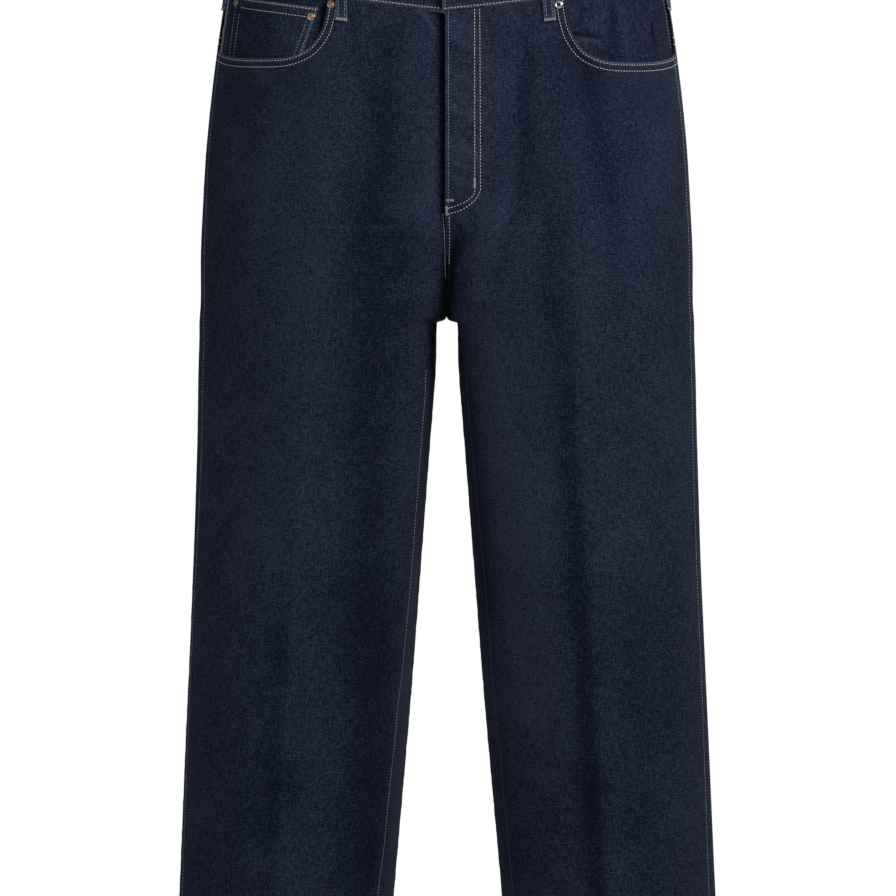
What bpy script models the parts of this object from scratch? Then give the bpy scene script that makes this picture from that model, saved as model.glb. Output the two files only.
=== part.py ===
"""Wide leg jeans, filled out as worn with nobody inside, at real size.

Metres, +Z up. The front faces -Y and the wearer's left is +X. The origin is on the centre front line of the
waist, halfway up the waistband, in the middle of the waist opening.

The cloth is one surface, cloth_point(side, t, p), worked out for each half of the garment:
t counts the rows of ROWS down from the waist seam, t = 0, to the hem, and p runs round one half,
0 at the centre front or inseam, 1 at the front crease, 2 at the side, 3 at the back crease, 4 at the
centre back or inseam. Each piece is a wall between two stretches of that surface.
"""

import math
from collections import namedtuple

import bmesh
import bpy
import numpy as np
from mathutils import Vector

MM = 0.001

# Driving sizes.
WALL = 1.4 * MM  # denim, with its seam allowances
SEAM_GAP = 0.3 * MM  # between two pieces that are sewn together
LAYER_GAP = 0.4 * MM  # between two layers of cloth that lie on each other
BAND_HEIGHT = 40 * MM
BAND_WALL = 2.4 * MM
BAND_LEAN = 0.12  # inwards for each metre up
LOOP_WALL = 1.6 * MM
LOOP_BELOW_SEAM = 20 * MM
LOOP_BULGE = 1.6 * MM
HEM_HEIGHT = 13 * MM

LEFT, RIGHT = 1, -1  # the wearer's, as the sign of X

# One row for each level of a half, from the waist seam down. Millimetres and degrees.
# level: height of the row at its front crease; tilt: share of the waist seam's rise towards the back
# side, front, back: where the section reaches its side, its front crease and its back crease
# rise, seat: the section's two inner ends, which meet at the fork and then run down the inseam
# rise_turn, seat_turn: how far the cloth has turned from across to fore-and-aft at those ends
# full: roundness of the inner front quarter; crease: half the angle of the pressed crease
Row = namedtuple(
    "Row",
    "level tilt side_x side_y front_x front_y back_x back_y inner_x"
    " rise_y rise_z seat_y seat_z rise_turn seat_turn full crease",
)
ROWS = (
    Row(-20, 1.00, 194, 4, 100, -91, 96, 92, 0, -97, -20, 99, 32, 0, 0, 0.40, 0),
    Row(-56, 0.85, 200, 5, 100, -98, 97, 108, 0, -103, -56, 110, -12, 0, 0, 0.40, 0),
    Row(-96, 0.65, 206, 6, 101, -104, 99, 122, 0, -108, -96, 119, -60, 0, 0, 0.40, 1),
    Row(-140, 0.42, 211, 7, 104, -109, 101, 131, 0, -112, -140, 124, -110, 0, 3, 0.42, 2),
    Row(-184, 0.20, 214, 8, 107, -111, 103, 133, 0, -110, -182, 123, -160, 6, 8, 0.46, 3),
    Row(-222, 0.06, 216, 8, 109, -112, 104, 130, 0, -103, -219, 112, -206, 42, 28, 0.54, 4),
    Row(-250, 0.00, 216, 7, 111, -112, 105, 125, 0, -80, -249, 88, -244, 72, 58, 0.68, 5),
    Row(-268, 0.00, 216, 6, 112, -112, 106, 121, 0, -46, -270, 52, -269, 85, 80, 0.80, 5),
    Row(-283, 0.00, 217, 5, 113, -111, 107, 119, 0, 4, -279, 4, -279, 90, 90, 0.85, 6),
    Row(-298, 0.00, 217, 5, 113, -111, 107, 118, 8.0, 4, -282, 4, -282, 90, 90, 0.85, 6),
    Row(-332, 0.00, 218, 4, 114, -110, 108, 115, 9.5, 3, -326, 3, -326, 90, 90, 0.81, 7),
    Row(-394, 0.00, 219, 3, 117, -108, 112, 112, 14.5, 2, -392, 2, -392, 90, 90, 0.75, 8),
    Row(-500, 0.00, 222, 2, 124, -105, 120, 107, 22.5, 1, -500, 1, -500, 90, 90, 0.68, 9),
    Row(-620, 0.00, 227, 1, 131, -102, 128, 102, 31.5, 0, -620, 0, -620, 90, 90, 0.62, 9),
    Row(-788, 0.00, 234, 0, 140, -97, 138, 96, 46, -2, -788, -2, -788, 90, 90, 0.60, 9),
    Row(-930, 0.00, 240, -1, 148, -94, 148, 91, 57.5, -3, -930, -3, -930, 90, 90, 0.58, 9),
    Row(-1075, 0.00, 247, -2, 157, -92, 157, 88, 69, -4, -1075, -4, -1075, 90, 90, 0.58, 9),
)
SEAT_T, FORK_T, HEM_T = 4, 8, len(ROWS) - 1

# How far the waist seam rises from the centre front, at the front crease, side and back crease.
FRONT_RISE, SIDE_RISE, BACK_RISE = 12.5 * MM, 31 * MM, 46 * MM
QUARTER = 0.55  # handle of a quarter of an ellipse
BACK_CREASE = 0.7  # of the front crease's angle
CREASE_SHIFT = {LEFT: -5 * MM, RIGHT: 6 * MM}  # the press creases aren't quite alike
LEG_SWING = {LEFT: 3.5 * MM, RIGHT: 0.5 * MM}  # outwards at the hem
FLY_EDGE_X = -1.3 * MM  # the fly's edge lies just off the middle
FLY_FOOT_Z = -185 * MM
LAP = {LEFT: 1.0 * MM, RIGHT: -1.2 * MM}  # the left front's edge stands over the right's
LAP_WIDTH = {LEFT: 34 * MM, RIGHT: 16 * MM}  # of the raised or sunk strip beside the fly
SPAN = 125 * MM  # length of a quarter of the section, near enough to measure folds with

SEAM_P = 1.86  # the side seams
# The pocket mouth: place round the section, and millimetres below the waist seam along the cloth.
MouthPoint = namedtuple("MouthPoint", "p drop")
POCKET_MOUTH = (
    MouthPoint(1.01, 0),
    MouthPoint(1.022, 18),
    MouthPoint(1.05, 34),
    MouthPoint(1.11, 49),
    MouthPoint(1.22, 59),
    MouthPoint(1.38, 62.5),
    MouthPoint(1.56, 63.5),
    MouthPoint(1.72, 62),
    MouthPoint(SEAM_P, 59),
)
MOUTH_DEPTH = {LEFT: 1.0, RIGHT: 0.945}  # share of those drops: the two mouths aren't cut quite alike
FACING_DROP = 80 * MM
COIN_INNER_P, COIN_INNER_FOOT_P, COIN_OUTER_P = 1.065, 1.19, 1.705  # the coin pocket's sides
COIN_P = (1.22, 1.38, 1.56)  # its columns between them, in line with the facing's
COIN_INNER_DROP, COIN_OUTER_DROP = 10.2 * MM, 6.0 * MM  # of its top edge, below the waist seam
COIN_FOOT = 74 * MM
COIN_WALL, FACING_WALL = 1.0 * MM, 1.2 * MM
YOKE_SIDE_DROP, YOKE_BACK_DROP = 42 * MM, 78 * MM
BACK_POCKET_P = (2.62, 2.80, 3.0, 3.2, 3.38, 3.56)
BACK_POCKET_ROWS = (1, 6)  # of the back leg's rows: its top edge and its lowest whole row
BACK_POCKET_POINT = (0.12, 0.45, 0.80, 0.80, 0.45, 0.12)  # of one more row, down to its pointed foot
LOOP_P = {LEFT: 0.885, RIGHT: 0.913}  # middle of a front belt loop
LOOP_HALF_P, SIDE_LOOP_HALF_P = 0.047, 0.036  # half a loop's width there and at the side
BAND_PROUD = 0.8 * MM  # of the panels below it
BAND_LAP = 1.3  # of the fronts' lap, since the waistband is thicker
BAND_END = 2.5 * MM  # its left end stands past the fly's edge
BUTTON_P = 0.10
# Rivets: which side, place round the section, millimetres below the waist seam, height of what it is set in.
Rivet = namedtuple("Rivet", "name side p drop out")
RIVETS = (
    Rivet("rivet_pocket_right", RIGHT, 0.990, 6.5, 0.0),
    Rivet("rivet_coin_inner", RIGHT, 1.105, 18.5, -1.8),
    Rivet("rivet_coin_outer", RIGHT, 1.685, 12.0, -1.8),
    Rivet("rivet_pocket_left", LEFT, 0.966, 6.0, 0.0),
)

# The largest folds, p and millimetres of height at each end, half-width and depth. A ridge is positive.
Fold = namedtuple("Fold", "side p_top z_top p_foot z_foot width depth")
FOLDS = (
    Fold(RIGHT, 0.62, -40, 0.74, -250, 17, -2.2),
    Fold(RIGHT, 0.86, -60, 0.88, -330, 20, 2.0),
    Fold(RIGHT, 0.50, -60, 0.52, -480, 22, -3.0),
    Fold(RIGHT, 0.30, -230, 0.42, -640, 26, 2.4),
    Fold(RIGHT, 1.45, -180, 1.38, -560, 30, -2.6),
    Fold(RIGHT, 1.75, -420, 1.62, -900, 30, 2.4),
    Fold(RIGHT, 0.55, -620, 0.48, -1060, 30, -2.8),
    Fold(LEFT, 0.66, -60, 0.60, -260, 18, -2.6),
    Fold(LEFT, 1.28, -60, 1.36, -230, 20, -2.4),
    Fold(LEFT, 0.45, -180, 0.50, -520, 24, 2.2),
    Fold(LEFT, 1.50, -260, 1.42, -620, 30, 2.4),
    Fold(LEFT, 0.62, -420, 0.58, -860, 28, -2.6),
    Fold(LEFT, 1.60, -640, 1.66, -1040, 30, -2.2),
    Fold(RIGHT, 3.40, -215, 3.10, -330, 24, -3.0),
    Fold(RIGHT, 2.55, -280, 2.70, -620, 30, 2.6),
    Fold(RIGHT, 3.50, -420, 3.42, -820, 28, -2.6),
    Fold(RIGHT, 2.40, -700, 2.36, -1040, 32, -2.4),
    Fold(LEFT, 3.36, -220, 3.02, -345, 24, -3.2),
    Fold(LEFT, 2.60, -300, 2.52, -680, 30, -2.6),
    Fold(LEFT, 3.46, -380, 3.55, -760, 28, 2.4),
    Fold(LEFT, 2.34, -640, 2.42, -1020, 32, 2.2),
)

# Columns of the front and back legs, round the section.
FLY_SIDE_P = (0, 0.12, 0.27, 0.42, 0.58, 0.72)
BACK_P = (SEAM_P, 2.05, 2.25, 2.44, 2.62, 2.80, 3.0, 3.2, 3.38, 3.56, 3.78, 4)
COMMON_T = 2.6  # the first front row that is level with its neighbours again
UPPER_STEPS = 4  # front rows above it
LEG_T = (8.0, 8.4, 9.0, 9.5, 10.3, 11.0, 11.6, 12.3, 13.1, 14.0, 15.0, 16.0)
FRONT_LEG_T = (3.3, 4.0, 4.5, 5.0, 5.5, 6.0, 6.5, 7.2) + LEG_T
BACK_LEG_T = (2.5, 3.0, 3.5, 4.0, 4.5, 5.0, 5.5, 6.0, 6.5, 7.1) + LEG_T

DENIM = (0.022, 0.030, 0.055, 1)
DENIM_INSIDE = (0.10, 0.12, 0.16, 1)
COPPER = (0.45, 0.20, 0.10, 1)
NICKEL = (0.62, 0.62, 0.60, 1)

ROW_TABLE = np.array([list(row) for row in ROWS], float)


def smoothstep(low, high, x):
    s = np.clip((x - low) / (high - low), 0, 1)
    return s * s * (3 - 2 * s)


def along(values, t):
    """The values, one array for each whole number, at the fractional numbers t on a smooth curve."""
    last = len(values) - 1
    t = np.clip(t, 0, last)
    i = np.minimum(t.astype(int), last - 1)
    s = t - i
    at = (i,) + tuple(np.indices(t.shape)) if values.ndim > 1 else (i,)

    def value(k):
        return values[(k,) + at[1:]]

    here, after = value(i), value(i + 1)
    before = np.where(i > 0, value(np.maximum(i - 1, 0)), 2 * here - after)
    beyond = np.where(i < last - 1, value(np.minimum(i + 2, last)), 2 * after - here)
    straight = 2 * here + (after - before) * s
    bend = (2 * before - 5 * here + 4 * after - beyond) * s**2
    twist = (3 * here - before - 3 * after + beyond) * s**3
    return 0.5 * (straight + bend + twist)


def bezier(start, start_handle, end_handle, end, s):
    return (
        start * (1 - s) ** 3
        + 3 * start_handle * s * (1 - s) ** 2
        + 3 * end_handle * s**2 * (1 - s)
        + end * s**3
    )


def section_point(side, t, p):
    """The cloth without its folds, on the +X side whichever side it is for."""
    t, p = np.broadcast_arrays(np.asarray(t, float), np.asarray(p, float))
    row = {name: along(ROW_TABLE[:, i], t) for i, name in enumerate(Row._fields)}
    length = ("level", "side_x", "side_y", "front_x", "front_y", "back_x", "back_y", "inner_x")
    for name in length + ("rise_y", "rise_z", "seat_y", "seat_z"):
        row[name] = row[name] * MM
    for rise, seat in (("rise_y", "seat_y"), ("rise_z", "seat_z")):
        inseam = (row[rise] + row[seat]) / 2
        row[rise] = np.where(t < FORK_T, row[rise], inseam)
        row[seat] = np.where(t < FORK_T, row[seat], inseam)
    below_fork = smoothstep(FORK_T, FORK_T + 1, t)
    swing = LEG_SWING[side] * np.clip(-row["level"] / 1.0, 0, None)
    fly = 1 - smoothstep(-FLY_FOOT_Z, 35 * MM - FLY_FOOT_Z, -row["level"])
    at_middle = SEAM_GAP / 2 + side * FLY_EDGE_X * fly
    inner_x = np.clip(row["inner_x"], 0, None) + at_middle * (1 - below_fork) + swing * below_fork
    side_x = row["side_x"] + swing
    shift = CREASE_SHIFT[side] * smoothstep(1, FORK_T, t) + swing
    front_x, back_x = row["front_x"] + shift, row["back_x"] + shift

    rise_turn, seat_turn = np.radians(row["rise_turn"]), np.radians(row["seat_turn"])
    crease = np.radians(row["crease"])
    ends = (
        (inner_x, row["rise_y"]),
        (front_x, row["front_y"]),
        (side_x, row["side_y"]),
        (back_x, row["back_y"]),
        (inner_x, row["seat_y"]),
    )
    ways = (
        ((np.cos(rise_turn), -np.sin(rise_turn)),) * 2,
        ((np.cos(crease), -np.sin(crease)), (np.cos(crease), np.sin(crease))),
        ((0 * crease, 1 + 0 * crease),) * 2,
        ((-np.cos(BACK_CREASE * crease), np.sin(BACK_CREASE * crease)),
         (-np.cos(BACK_CREASE * crease), -np.sin(BACK_CREASE * crease))),
        ((-np.cos(seat_turn), -np.sin(seat_turn)),) * 2,
    )
    full = row["full"]
    quarter = np.clip(p.astype(int), 0, 3)
    x, y = np.zeros_like(p), np.zeros_like(p)
    for k in range(4):
        (x0, y0), (x1, y1) = ends[k], ends[k + 1]
        leave, arrive = ways[k][1], ways[k + 1][0]
        reach = (np.abs(x1 - x0), np.abs(y1 - y0))
        roundness = (full, QUARTER, QUARTER, (full + QUARTER) / 2)[k]
        start_reach = roundness * (leave[0] ** 4 * reach[0] + np.abs(leave[1]) * reach[1])
        end_reach = roundness * (arrive[0] ** 4 * reach[0] + np.abs(arrive[1]) * reach[1])
        s = p - k
        here = quarter == k
        along_x = bezier(x0, x0 + leave[0] * start_reach, x1 - arrive[0] * end_reach, x1, s)
        along_y = bezier(y0, y0 + leave[1] * start_reach, y1 - arrive[1] * end_reach, y1, s)
        x, y = np.where(here, along_x, x), np.where(here, along_y, y)

    heights = (
        row["rise_z"],
        row["level"] + row["tilt"] * FRONT_RISE,
        row["level"] + row["tilt"] * SIDE_RISE,
        row["level"] + row["tilt"] * BACK_RISE,
        row["seat_z"],
    )
    return np.stack([x, y, along(np.stack(heights), p)], axis=-1)


def fly_lap(side, p):
    """How far a front's edge is pushed out, or in, where the left one laps over the right."""
    from_fly = p * 100 * MM
    return LAP[side] * (1 - smoothstep(LAP_WIDTH[side] * 0.55, LAP_WIDTH[side], from_fly))


def fold_height(side, p, z):
    """How far the folds and the lap of the fly push the cloth out."""
    height = np.zeros_like(z)
    for fold in FOLDS:
        if fold.side != side:
            continue
        s = (fold.z_top * MM - z) / ((fold.z_top - fold.z_foot) * MM)
        middle = fold.p_top + (fold.p_foot - fold.p_top) * s
        away = (p - middle) * SPAN / (fold.width * MM)
        ends = smoothstep(-0.1, 0.3, s) * (1 - smoothstep(0.7, 1.1, s))
        height = height + fold.depth * MM * np.exp(-away * away) * ends
    fade = 1 - 0.75 * smoothstep(-FLY_FOOT_Z, 30 * MM - FLY_FOOT_Z, -z)
    above_fork = 1 - smoothstep(0.235, 0.27, -z)
    return height + fly_lap(side, p) * fade * above_fork


def surface_normal(point, t, p, last_t):
    """Unit normals, facing out, of the surface point(t, p) over t from 0 to last_t and p from 0 to 4."""
    step = 0.01
    t0, t1 = np.clip(t - step, 0, last_t), np.clip(t + step, 0, last_t)
    p0, p1 = np.clip(p - step, 0, 4), np.clip(p + step, 0, 4)
    down = point(t1, p) - point(t0, p)
    round_ = point(t, p1) - point(t, p0)
    normal = np.cross(down, round_)
    return normal / np.linalg.norm(normal, axis=-1, keepdims=True)


def half_point(side, t, p):
    """The cloth's outer face with its folds, still on the +X side."""
    t, p = np.broadcast_arrays(np.asarray(t, float), np.asarray(p, float))
    smooth = section_point(side, t, p)
    normal = surface_normal(lambda a, b: section_point(side, a, b), t, p, HEM_T)
    return smooth + normal * fold_height(side, p, smooth[..., 2])[..., None]


def cloth_point(side, t, p, out=0.0):
    """The cloth's outer face, moved out along its normal."""
    t, p = np.broadcast_arrays(np.asarray(t, float), np.asarray(p, float))
    normal = surface_normal(lambda a, b: half_point(side, a, b), t, p, HEM_T)
    point = half_point(side, t, p) + normal * np.asarray(out)[..., None]
    return point * (side, 1, 1)


def row_of_drop(side, p, drop):
    """The row number at a distance down the cloth from the waist seam, in each column p."""
    rows = np.linspace(0, SEAT_T, 81)
    found = []
    for q, d in zip(*np.broadcast_arrays(np.asarray(p, float), np.asarray(drop, float))):
        column = section_point(side, rows, np.full_like(rows, q))
        steps = np.linalg.norm(np.diff(column, axis=0), axis=1)
        found.append(np.interp(d, np.concatenate([[0], np.cumsum(steps)]), rows))
    return np.array(found)


def band_point(side, h, p, out=0.0):
    """The waistband's outer face at the height h above the waist seam, moved out."""
    h, p = np.broadcast_arrays(np.asarray(h, float), np.asarray(p, float))
    seam = section_point(side, np.zeros_like(p), p)
    step = 0.01
    ahead = section_point(side, np.zeros_like(p), np.clip(p + step, 0, 4))
    behind = section_point(side, np.zeros_like(p), np.clip(p - step, 0, 4))
    way = ahead - behind
    outwards = np.stack([way[..., 1], -way[..., 0], 0 * p], axis=-1)
    outwards /= np.linalg.norm(outwards, axis=-1, keepdims=True)
    lap = BAND_LAP * fly_lap(side, p)
    rise = np.array((0, 0, 1.0)) - BAND_LEAN * outwards
    point = seam + rise * h[..., None] + outwards * (lap + np.asarray(out))[..., None]
    return point * (side, 1, 1)


def material(name, colour, roughness, metallic):
    made = bpy.data.materials.new(name)
    made.use_nodes = True
    shader = made.node_tree.nodes["Principled BSDF"]
    shader.inputs["Base Color"].default_value = colour
    shader.inputs["Roughness"].default_value = roughness
    shader.inputs["Metallic"].default_value = metallic
    made.diffuse_color = colour
    return made


def add_object(name, mesh, colour=DENIM, roughness=0.85, metallic=0.0):
    mesh.shade_smooth()
    mesh.set_sharp_from_angle(angle=math.radians(40))
    mesh.materials.append(material(name + "_finish", colour, roughness, metallic))
    made = bpy.data.objects.new(name, mesh)
    JEANS.objects.link(made)
    return made


def wall(name, outer, inner, looped=False, **finish):
    """A sheet of cloth between two grids of points, closed with a rim. A looped one joins its columns."""
    rows, columns = outer.shape[:2]
    count = rows * columns
    mesh_points = np.concatenate([outer.reshape(-1, 3), inner.reshape(-1, 3)])
    faces = []

    def index(r, c, layer):
        return layer * count + r * columns + c % columns

    for r in range(rows - 1):
        for c in range(columns if looped else columns - 1):
            corners = ((r, c), (r, c + 1), (r + 1, c + 1), (r + 1, c))
            a, b, d, e = (outer[i, j % columns] for i, j in corners)
            if np.linalg.norm(a - d) > np.linalg.norm(b - e):
                corners = corners[1:] + corners[:1]
            for layer in (0, 1):
                ring = [index(i, j, layer) for i, j in corners]
                ring = ring if layer == 0 else ring[::-1]
                faces += [(ring[0], ring[1], ring[2]), (ring[0], ring[2], ring[3])] if layer == 0 else [
                    (ring[3], ring[0], ring[1]), (ring[3], ring[1], ring[2])]
    edge = [(0, c) for c in range(columns)]
    if looped:
        foot = [(rows - 1, c) for c in range(columns)]
        rims = [edge + edge[:1], (foot + foot[:1])[::-1]]
    else:
        edge += [(r, columns - 1) for r in range(1, rows)]
        edge += [(rows - 1, c) for c in range(columns - 2, -1, -1)]
        edge += [(r, 0) for r in range(rows - 2, -1, -1)]
        rims = [edge]
    for rim in rims:
        for (r0, c0), (r1, c1) in zip(rim, rim[1:]):
            faces.append((index(r1, c1, 0), index(r0, c0, 0), index(r0, c0, 1), index(r1, c1, 1)))
    mesh = bpy.data.meshes.new(name)
    mesh.from_pydata([tuple(q) for q in mesh_points], [], faces)
    clean = bmesh.new()
    clean.from_mesh(mesh)
    bmesh.ops.recalc_face_normals(clean, faces=clean.faces)
    bmesh.ops.triangulate(clean, faces=[f for f in clean.faces if len(f.verts) > 3])
    clean.to_mesh(mesh)
    clean.free()
    return add_object(name, mesh, **finish)


def cloth_wall(name, side, t, p, out=0.0, thick=WALL, looped=False, **finish):
    """A wall of cloth whose outer face is the surface over the grids t and p, moved out."""
    outer = cloth_point(side, t, p, np.full(np.shape(t), out))
    inner = cloth_point(side, t, p, np.full(np.shape(t), out - thick))
    return wall(name, outer, inner, looped, **finish)


def inset(values, at_start, at_end):
    """Column places with the seam gap taken off the ends that are given."""
    places = np.array(values, float)
    half = SEAM_GAP / 2 / SPAN
    places[0] += half * at_start
    places[-1] -= half * at_end
    return places


def side_name(side):
    return "left" if side == LEFT else "right"


def front_columns(side):
    """A front's columns, from the fly to the side seam, with one at each edge of its belt loop."""
    loop = [LOOP_P[side] + k * LOOP_HALF_P for k in (-1, 0, 1)]
    return np.array(list(FLY_SIDE_P) + loop + [m.p for m in POCKET_MOUTH])


def front_leg(side):
    columns = inset(front_columns(side), 1, 1)
    mouth = [m.drop * MOUTH_DEPTH[side] * MM for m in POCKET_MOUTH]
    drops = np.array([0.0] * (len(columns) - len(POCKET_MOUTH)) + mouth)
    top = row_of_drop(side, columns, drops + SEAM_GAP)
    upper = [top + (COMMON_T - top) * k / UPPER_STEPS for k in range(UPPER_STEPS)]
    lower = [np.full(len(columns), t) for t in (COMMON_T,) + FRONT_LEG_T]
    t = np.array(upper + lower)
    p = np.broadcast_to(columns, t.shape)
    return cloth_wall("front_" + side_name(side), side, t, p)


def yoke_drop(p):
    """How far the yoke seam lies below the waist seam."""
    return YOKE_SIDE_DROP + (YOKE_BACK_DROP - YOKE_SIDE_DROP) * (p - SEAM_P) / (4 - SEAM_P)


def yoke(side):
    columns = inset(BACK_P, 1, 1)
    foot = row_of_drop(side, columns, yoke_drop(columns) - SEAM_GAP / 2)
    top = row_of_drop(side, columns, np.full(len(columns), SEAM_GAP))
    t = np.array([top + (foot - top) * k / 3 for k in range(4)])
    p = np.broadcast_to(columns, t.shape)
    return cloth_wall("yoke_" + side_name(side), side, t, p)


def back_leg_grid(side):
    columns = inset(BACK_P, 1, 1)
    top = row_of_drop(side, columns, yoke_drop(columns) + SEAM_GAP / 2)
    upper = [top, top + (BACK_LEG_T[0] - top) / 2]
    t = np.array(upper + [np.full(len(columns), t) for t in BACK_LEG_T])
    return t, np.broadcast_to(columns, t.shape)


def back_leg(side):
    t, p = back_leg_grid(side)
    return cloth_wall("back_" + side_name(side), side, t, p)


def back_pocket(side):
    """A plain patch pocket, made from the back leg's own points, with a pointed foot."""
    t, p = back_leg_grid(side)
    first, last = BACK_POCKET_ROWS
    chosen = [int(np.argmin(np.abs(p[0] - q))) for q in BACK_POCKET_P]
    over = cloth_point(side, t, p, np.full(t.shape, LAYER_GAP + WALL))
    resting = cloth_point(side, t, p, np.full(t.shape, LAYER_GAP))
    grids = []
    for face in (over, resting):
        whole = face[first:last + 1, chosen]
        share = np.array(BACK_POCKET_POINT)[:, None]
        foot = face[last, chosen] * (1 - share) + face[last + 1, chosen] * share
        grids.append(np.concatenate([whole, foot[None]]))
    return wall("back_pocket_" + side_name(side), grids[0], grids[1])


def hem(side):
    """The turned-up end of a leg, a ring inside it."""
    columns = np.concatenate([front_columns(side), BACK_P[1:-1]])
    level = np.diff([r.level for r in ROWS[-2:]])[0] * -MM
    top = HEM_T - HEM_HEIGHT / level
    t = np.repeat(np.array([top, HEM_T])[:, None], len(columns), axis=1)
    p = np.broadcast_to(columns, t.shape)
    return cloth_wall("hem_" + side_name(side), side, t, p, out=-WALL - LAYER_GAP, looped=True)


def facing(side):
    """The cloth behind a pocket mouth, which the coin pocket is sewn to."""
    depth = WALL + LAYER_GAP + (COIN_WALL + LAYER_GAP if side == RIGHT else 0)
    start = LOOP_P[side] + LOOP_HALF_P
    columns = inset([start] + [m.p for m in POCKET_MOUTH], 0, 1)
    drops = SEAM_GAP + (FACING_DROP - SEAM_GAP) * np.arange(6) / 5
    t = np.array([row_of_drop(side, columns, np.full(len(columns), d)) for d in drops])
    p = np.broadcast_to(columns, t.shape)
    return cloth_wall("facing_" + side_name(side), side, t, p, out=-depth, thick=FACING_WALL)


def coin_pocket():
    rows = []
    for down in np.arange(5) / 4:
        inner_p = COIN_INNER_P + (COIN_INNER_FOOT_P - COIN_INNER_P) * down
        p = np.array((inner_p, (inner_p + COIN_P[0]) / 2) + COIN_P + (COIN_OUTER_P,))
        share = (p - inner_p) / (COIN_OUTER_P - inner_p)
        top = COIN_INNER_DROP + (COIN_OUTER_DROP - COIN_INNER_DROP) * share
        rows.append((row_of_drop(RIGHT, p, top + (COIN_FOOT - top) * down), p))
    t, p = (np.array(part) for part in zip(*rows))
    return cloth_wall("coin_pocket", RIGHT, t, p, out=-WALL - LAYER_GAP, thick=COIN_WALL)


def fly_shield():
    """The strip behind the fly, sewn to the right front and lying under the left."""
    heights = np.array([0.06] + [COMMON_T * k / UPPER_STEPS for k in range(1, UPPER_STEPS + 1)] + [3.3, 3.8])
    places = {RIGHT: FLY_SIDE_P[1::-1], LEFT: FLY_SIDE_P[1:4]}
    grids = []
    for depth in (WALL + LAYER_GAP, 2 * WALL + LAYER_GAP):
        stretches = []
        for side in (RIGHT, LEFT):
            t = np.repeat(heights[:, None], len(places[side]), axis=1)
            p = np.broadcast_to(np.array(places[side], float), t.shape)
            level = depth if side == RIGHT else depth + LAP[LEFT] - LAP[RIGHT]
            stretches.append(cloth_point(side, t, p, np.full(t.shape, -level)))
        grids.append(np.concatenate(stretches, axis=1))
    return wall("fly_shield", grids[0], grids[1], colour=DENIM_INSIDE)


def waistband():
    """One strip from the right front's hidden end, round the back, to the left front's end over it."""
    right = np.concatenate([front_columns(RIGHT)[:1], [0.06], front_columns(RIGHT)[1:], BACK_P[1:]])
    left = np.concatenate([BACK_P[::-1][1:], front_columns(LEFT)[::-1][1:]])
    heights = np.array((0, 0.5, 1)) * BAND_HEIGHT
    tail_p = np.array([[0.32, 0.16]])
    deeper = BAND_LAP * (LAP[LEFT] - LAP[RIGHT])
    grids = []
    for out in (BAND_PROUD, BAND_PROUD - BAND_WALL):
        h = heights[:, None]
        tail = band_point(LEFT, h, tail_p, np.full((3, 2), out - deeper))
        on_right = band_point(RIGHT, h, right[None], np.full((3, len(right)), out))
        on_left = band_point(LEFT, h, left[None], np.full((3, len(left)), out))
        end = on_left[:, -1:] + np.array((-BAND_END, 0, 0))
        grids.append(np.concatenate([tail, on_right, on_left, end], axis=1))
    return wall("waistband", grids[0], grids[1])


def loop_rows():
    """A belt loop's rows: height above the waist seam, and height over what it lies on."""
    return (
        (BAND_HEIGHT - 0.5 * MM, LAYER_GAP),
        (BAND_HEIGHT * 0.80, LAYER_GAP + LOOP_BULGE * 0.8),
        (BAND_HEIGHT * 0.45, LAYER_GAP + LOOP_BULGE),
        (BAND_HEIGHT * 0.10, LAYER_GAP + LOOP_BULGE * 0.6),
        (-LOOP_BELOW_SEAM * 0.25, LAYER_GAP + LOOP_BULGE * 0.5),
        (-LOOP_BELOW_SEAM * 0.60, LAYER_GAP),
        (-LOOP_BELOW_SEAM, LAYER_GAP),
    )


def loop_line(side, p, thick):
    """One lengthwise line of a belt loop, at its outer face or, with thick, its inner one."""
    line = []
    for height, out in loop_rows():
        at = np.array([p])
        if height > 0:
            line.append(band_point(side, height, at, np.array([BAND_PROUD + out + thick]))[0])
        else:
            t = row_of_drop(side, at, -height)
            line.append(cloth_point(side, t, at, np.array([out + thick]))[0])
    return np.array(line)


def belt_loop(name, places):
    """A strip over the waistband through three lengthwise lines, each given by its side and p."""
    faces = []
    for thick in (LOOP_WALL, 0.0):
        faces.append(np.stack([loop_line(side, p, thick) for side, p in places], axis=1))
    return wall(name, faces[0], faces[1])


def belt_loops():
    for side in (RIGHT, LEFT):
        ending = side_name(side)
        for place, middle, half in (("front", LOOP_P[side], LOOP_HALF_P), ("side", SEAM_P, SIDE_LOOP_HALF_P)):
            lines = [(side, middle + k * half) for k in (-1, 0, 1)]
            belt_loop("belt_loop_" + place + "_" + ending, lines)
    belt_loop("belt_loop_back", [(RIGHT, 3.95), (LEFT, 4), (LEFT, 3.95)])


def turned(name, profile, foot, top, **finish):
    """A round piece turned from its profile, top to bottom, standing at foot and pointing at top."""
    mesh = bpy.data.meshes.new(name)
    points = [(r, 0, z) for r, z in profile]
    mesh.from_pydata(points, [(i, i + 1) for i in range(len(points) - 1)], [])
    made = add_object(name, mesh, **finish)
    screw = made.modifiers.new("turn", "SCREW")
    screw.steps = screw.render_steps = 20
    screw.use_merge_vertices = True
    screw.merge_threshold = 0.00001
    made.location = foot
    made.rotation_mode = "QUATERNION"
    made.rotation_quaternion = Vector(top - foot).to_track_quat("Z", "Y")
    return made


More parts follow.
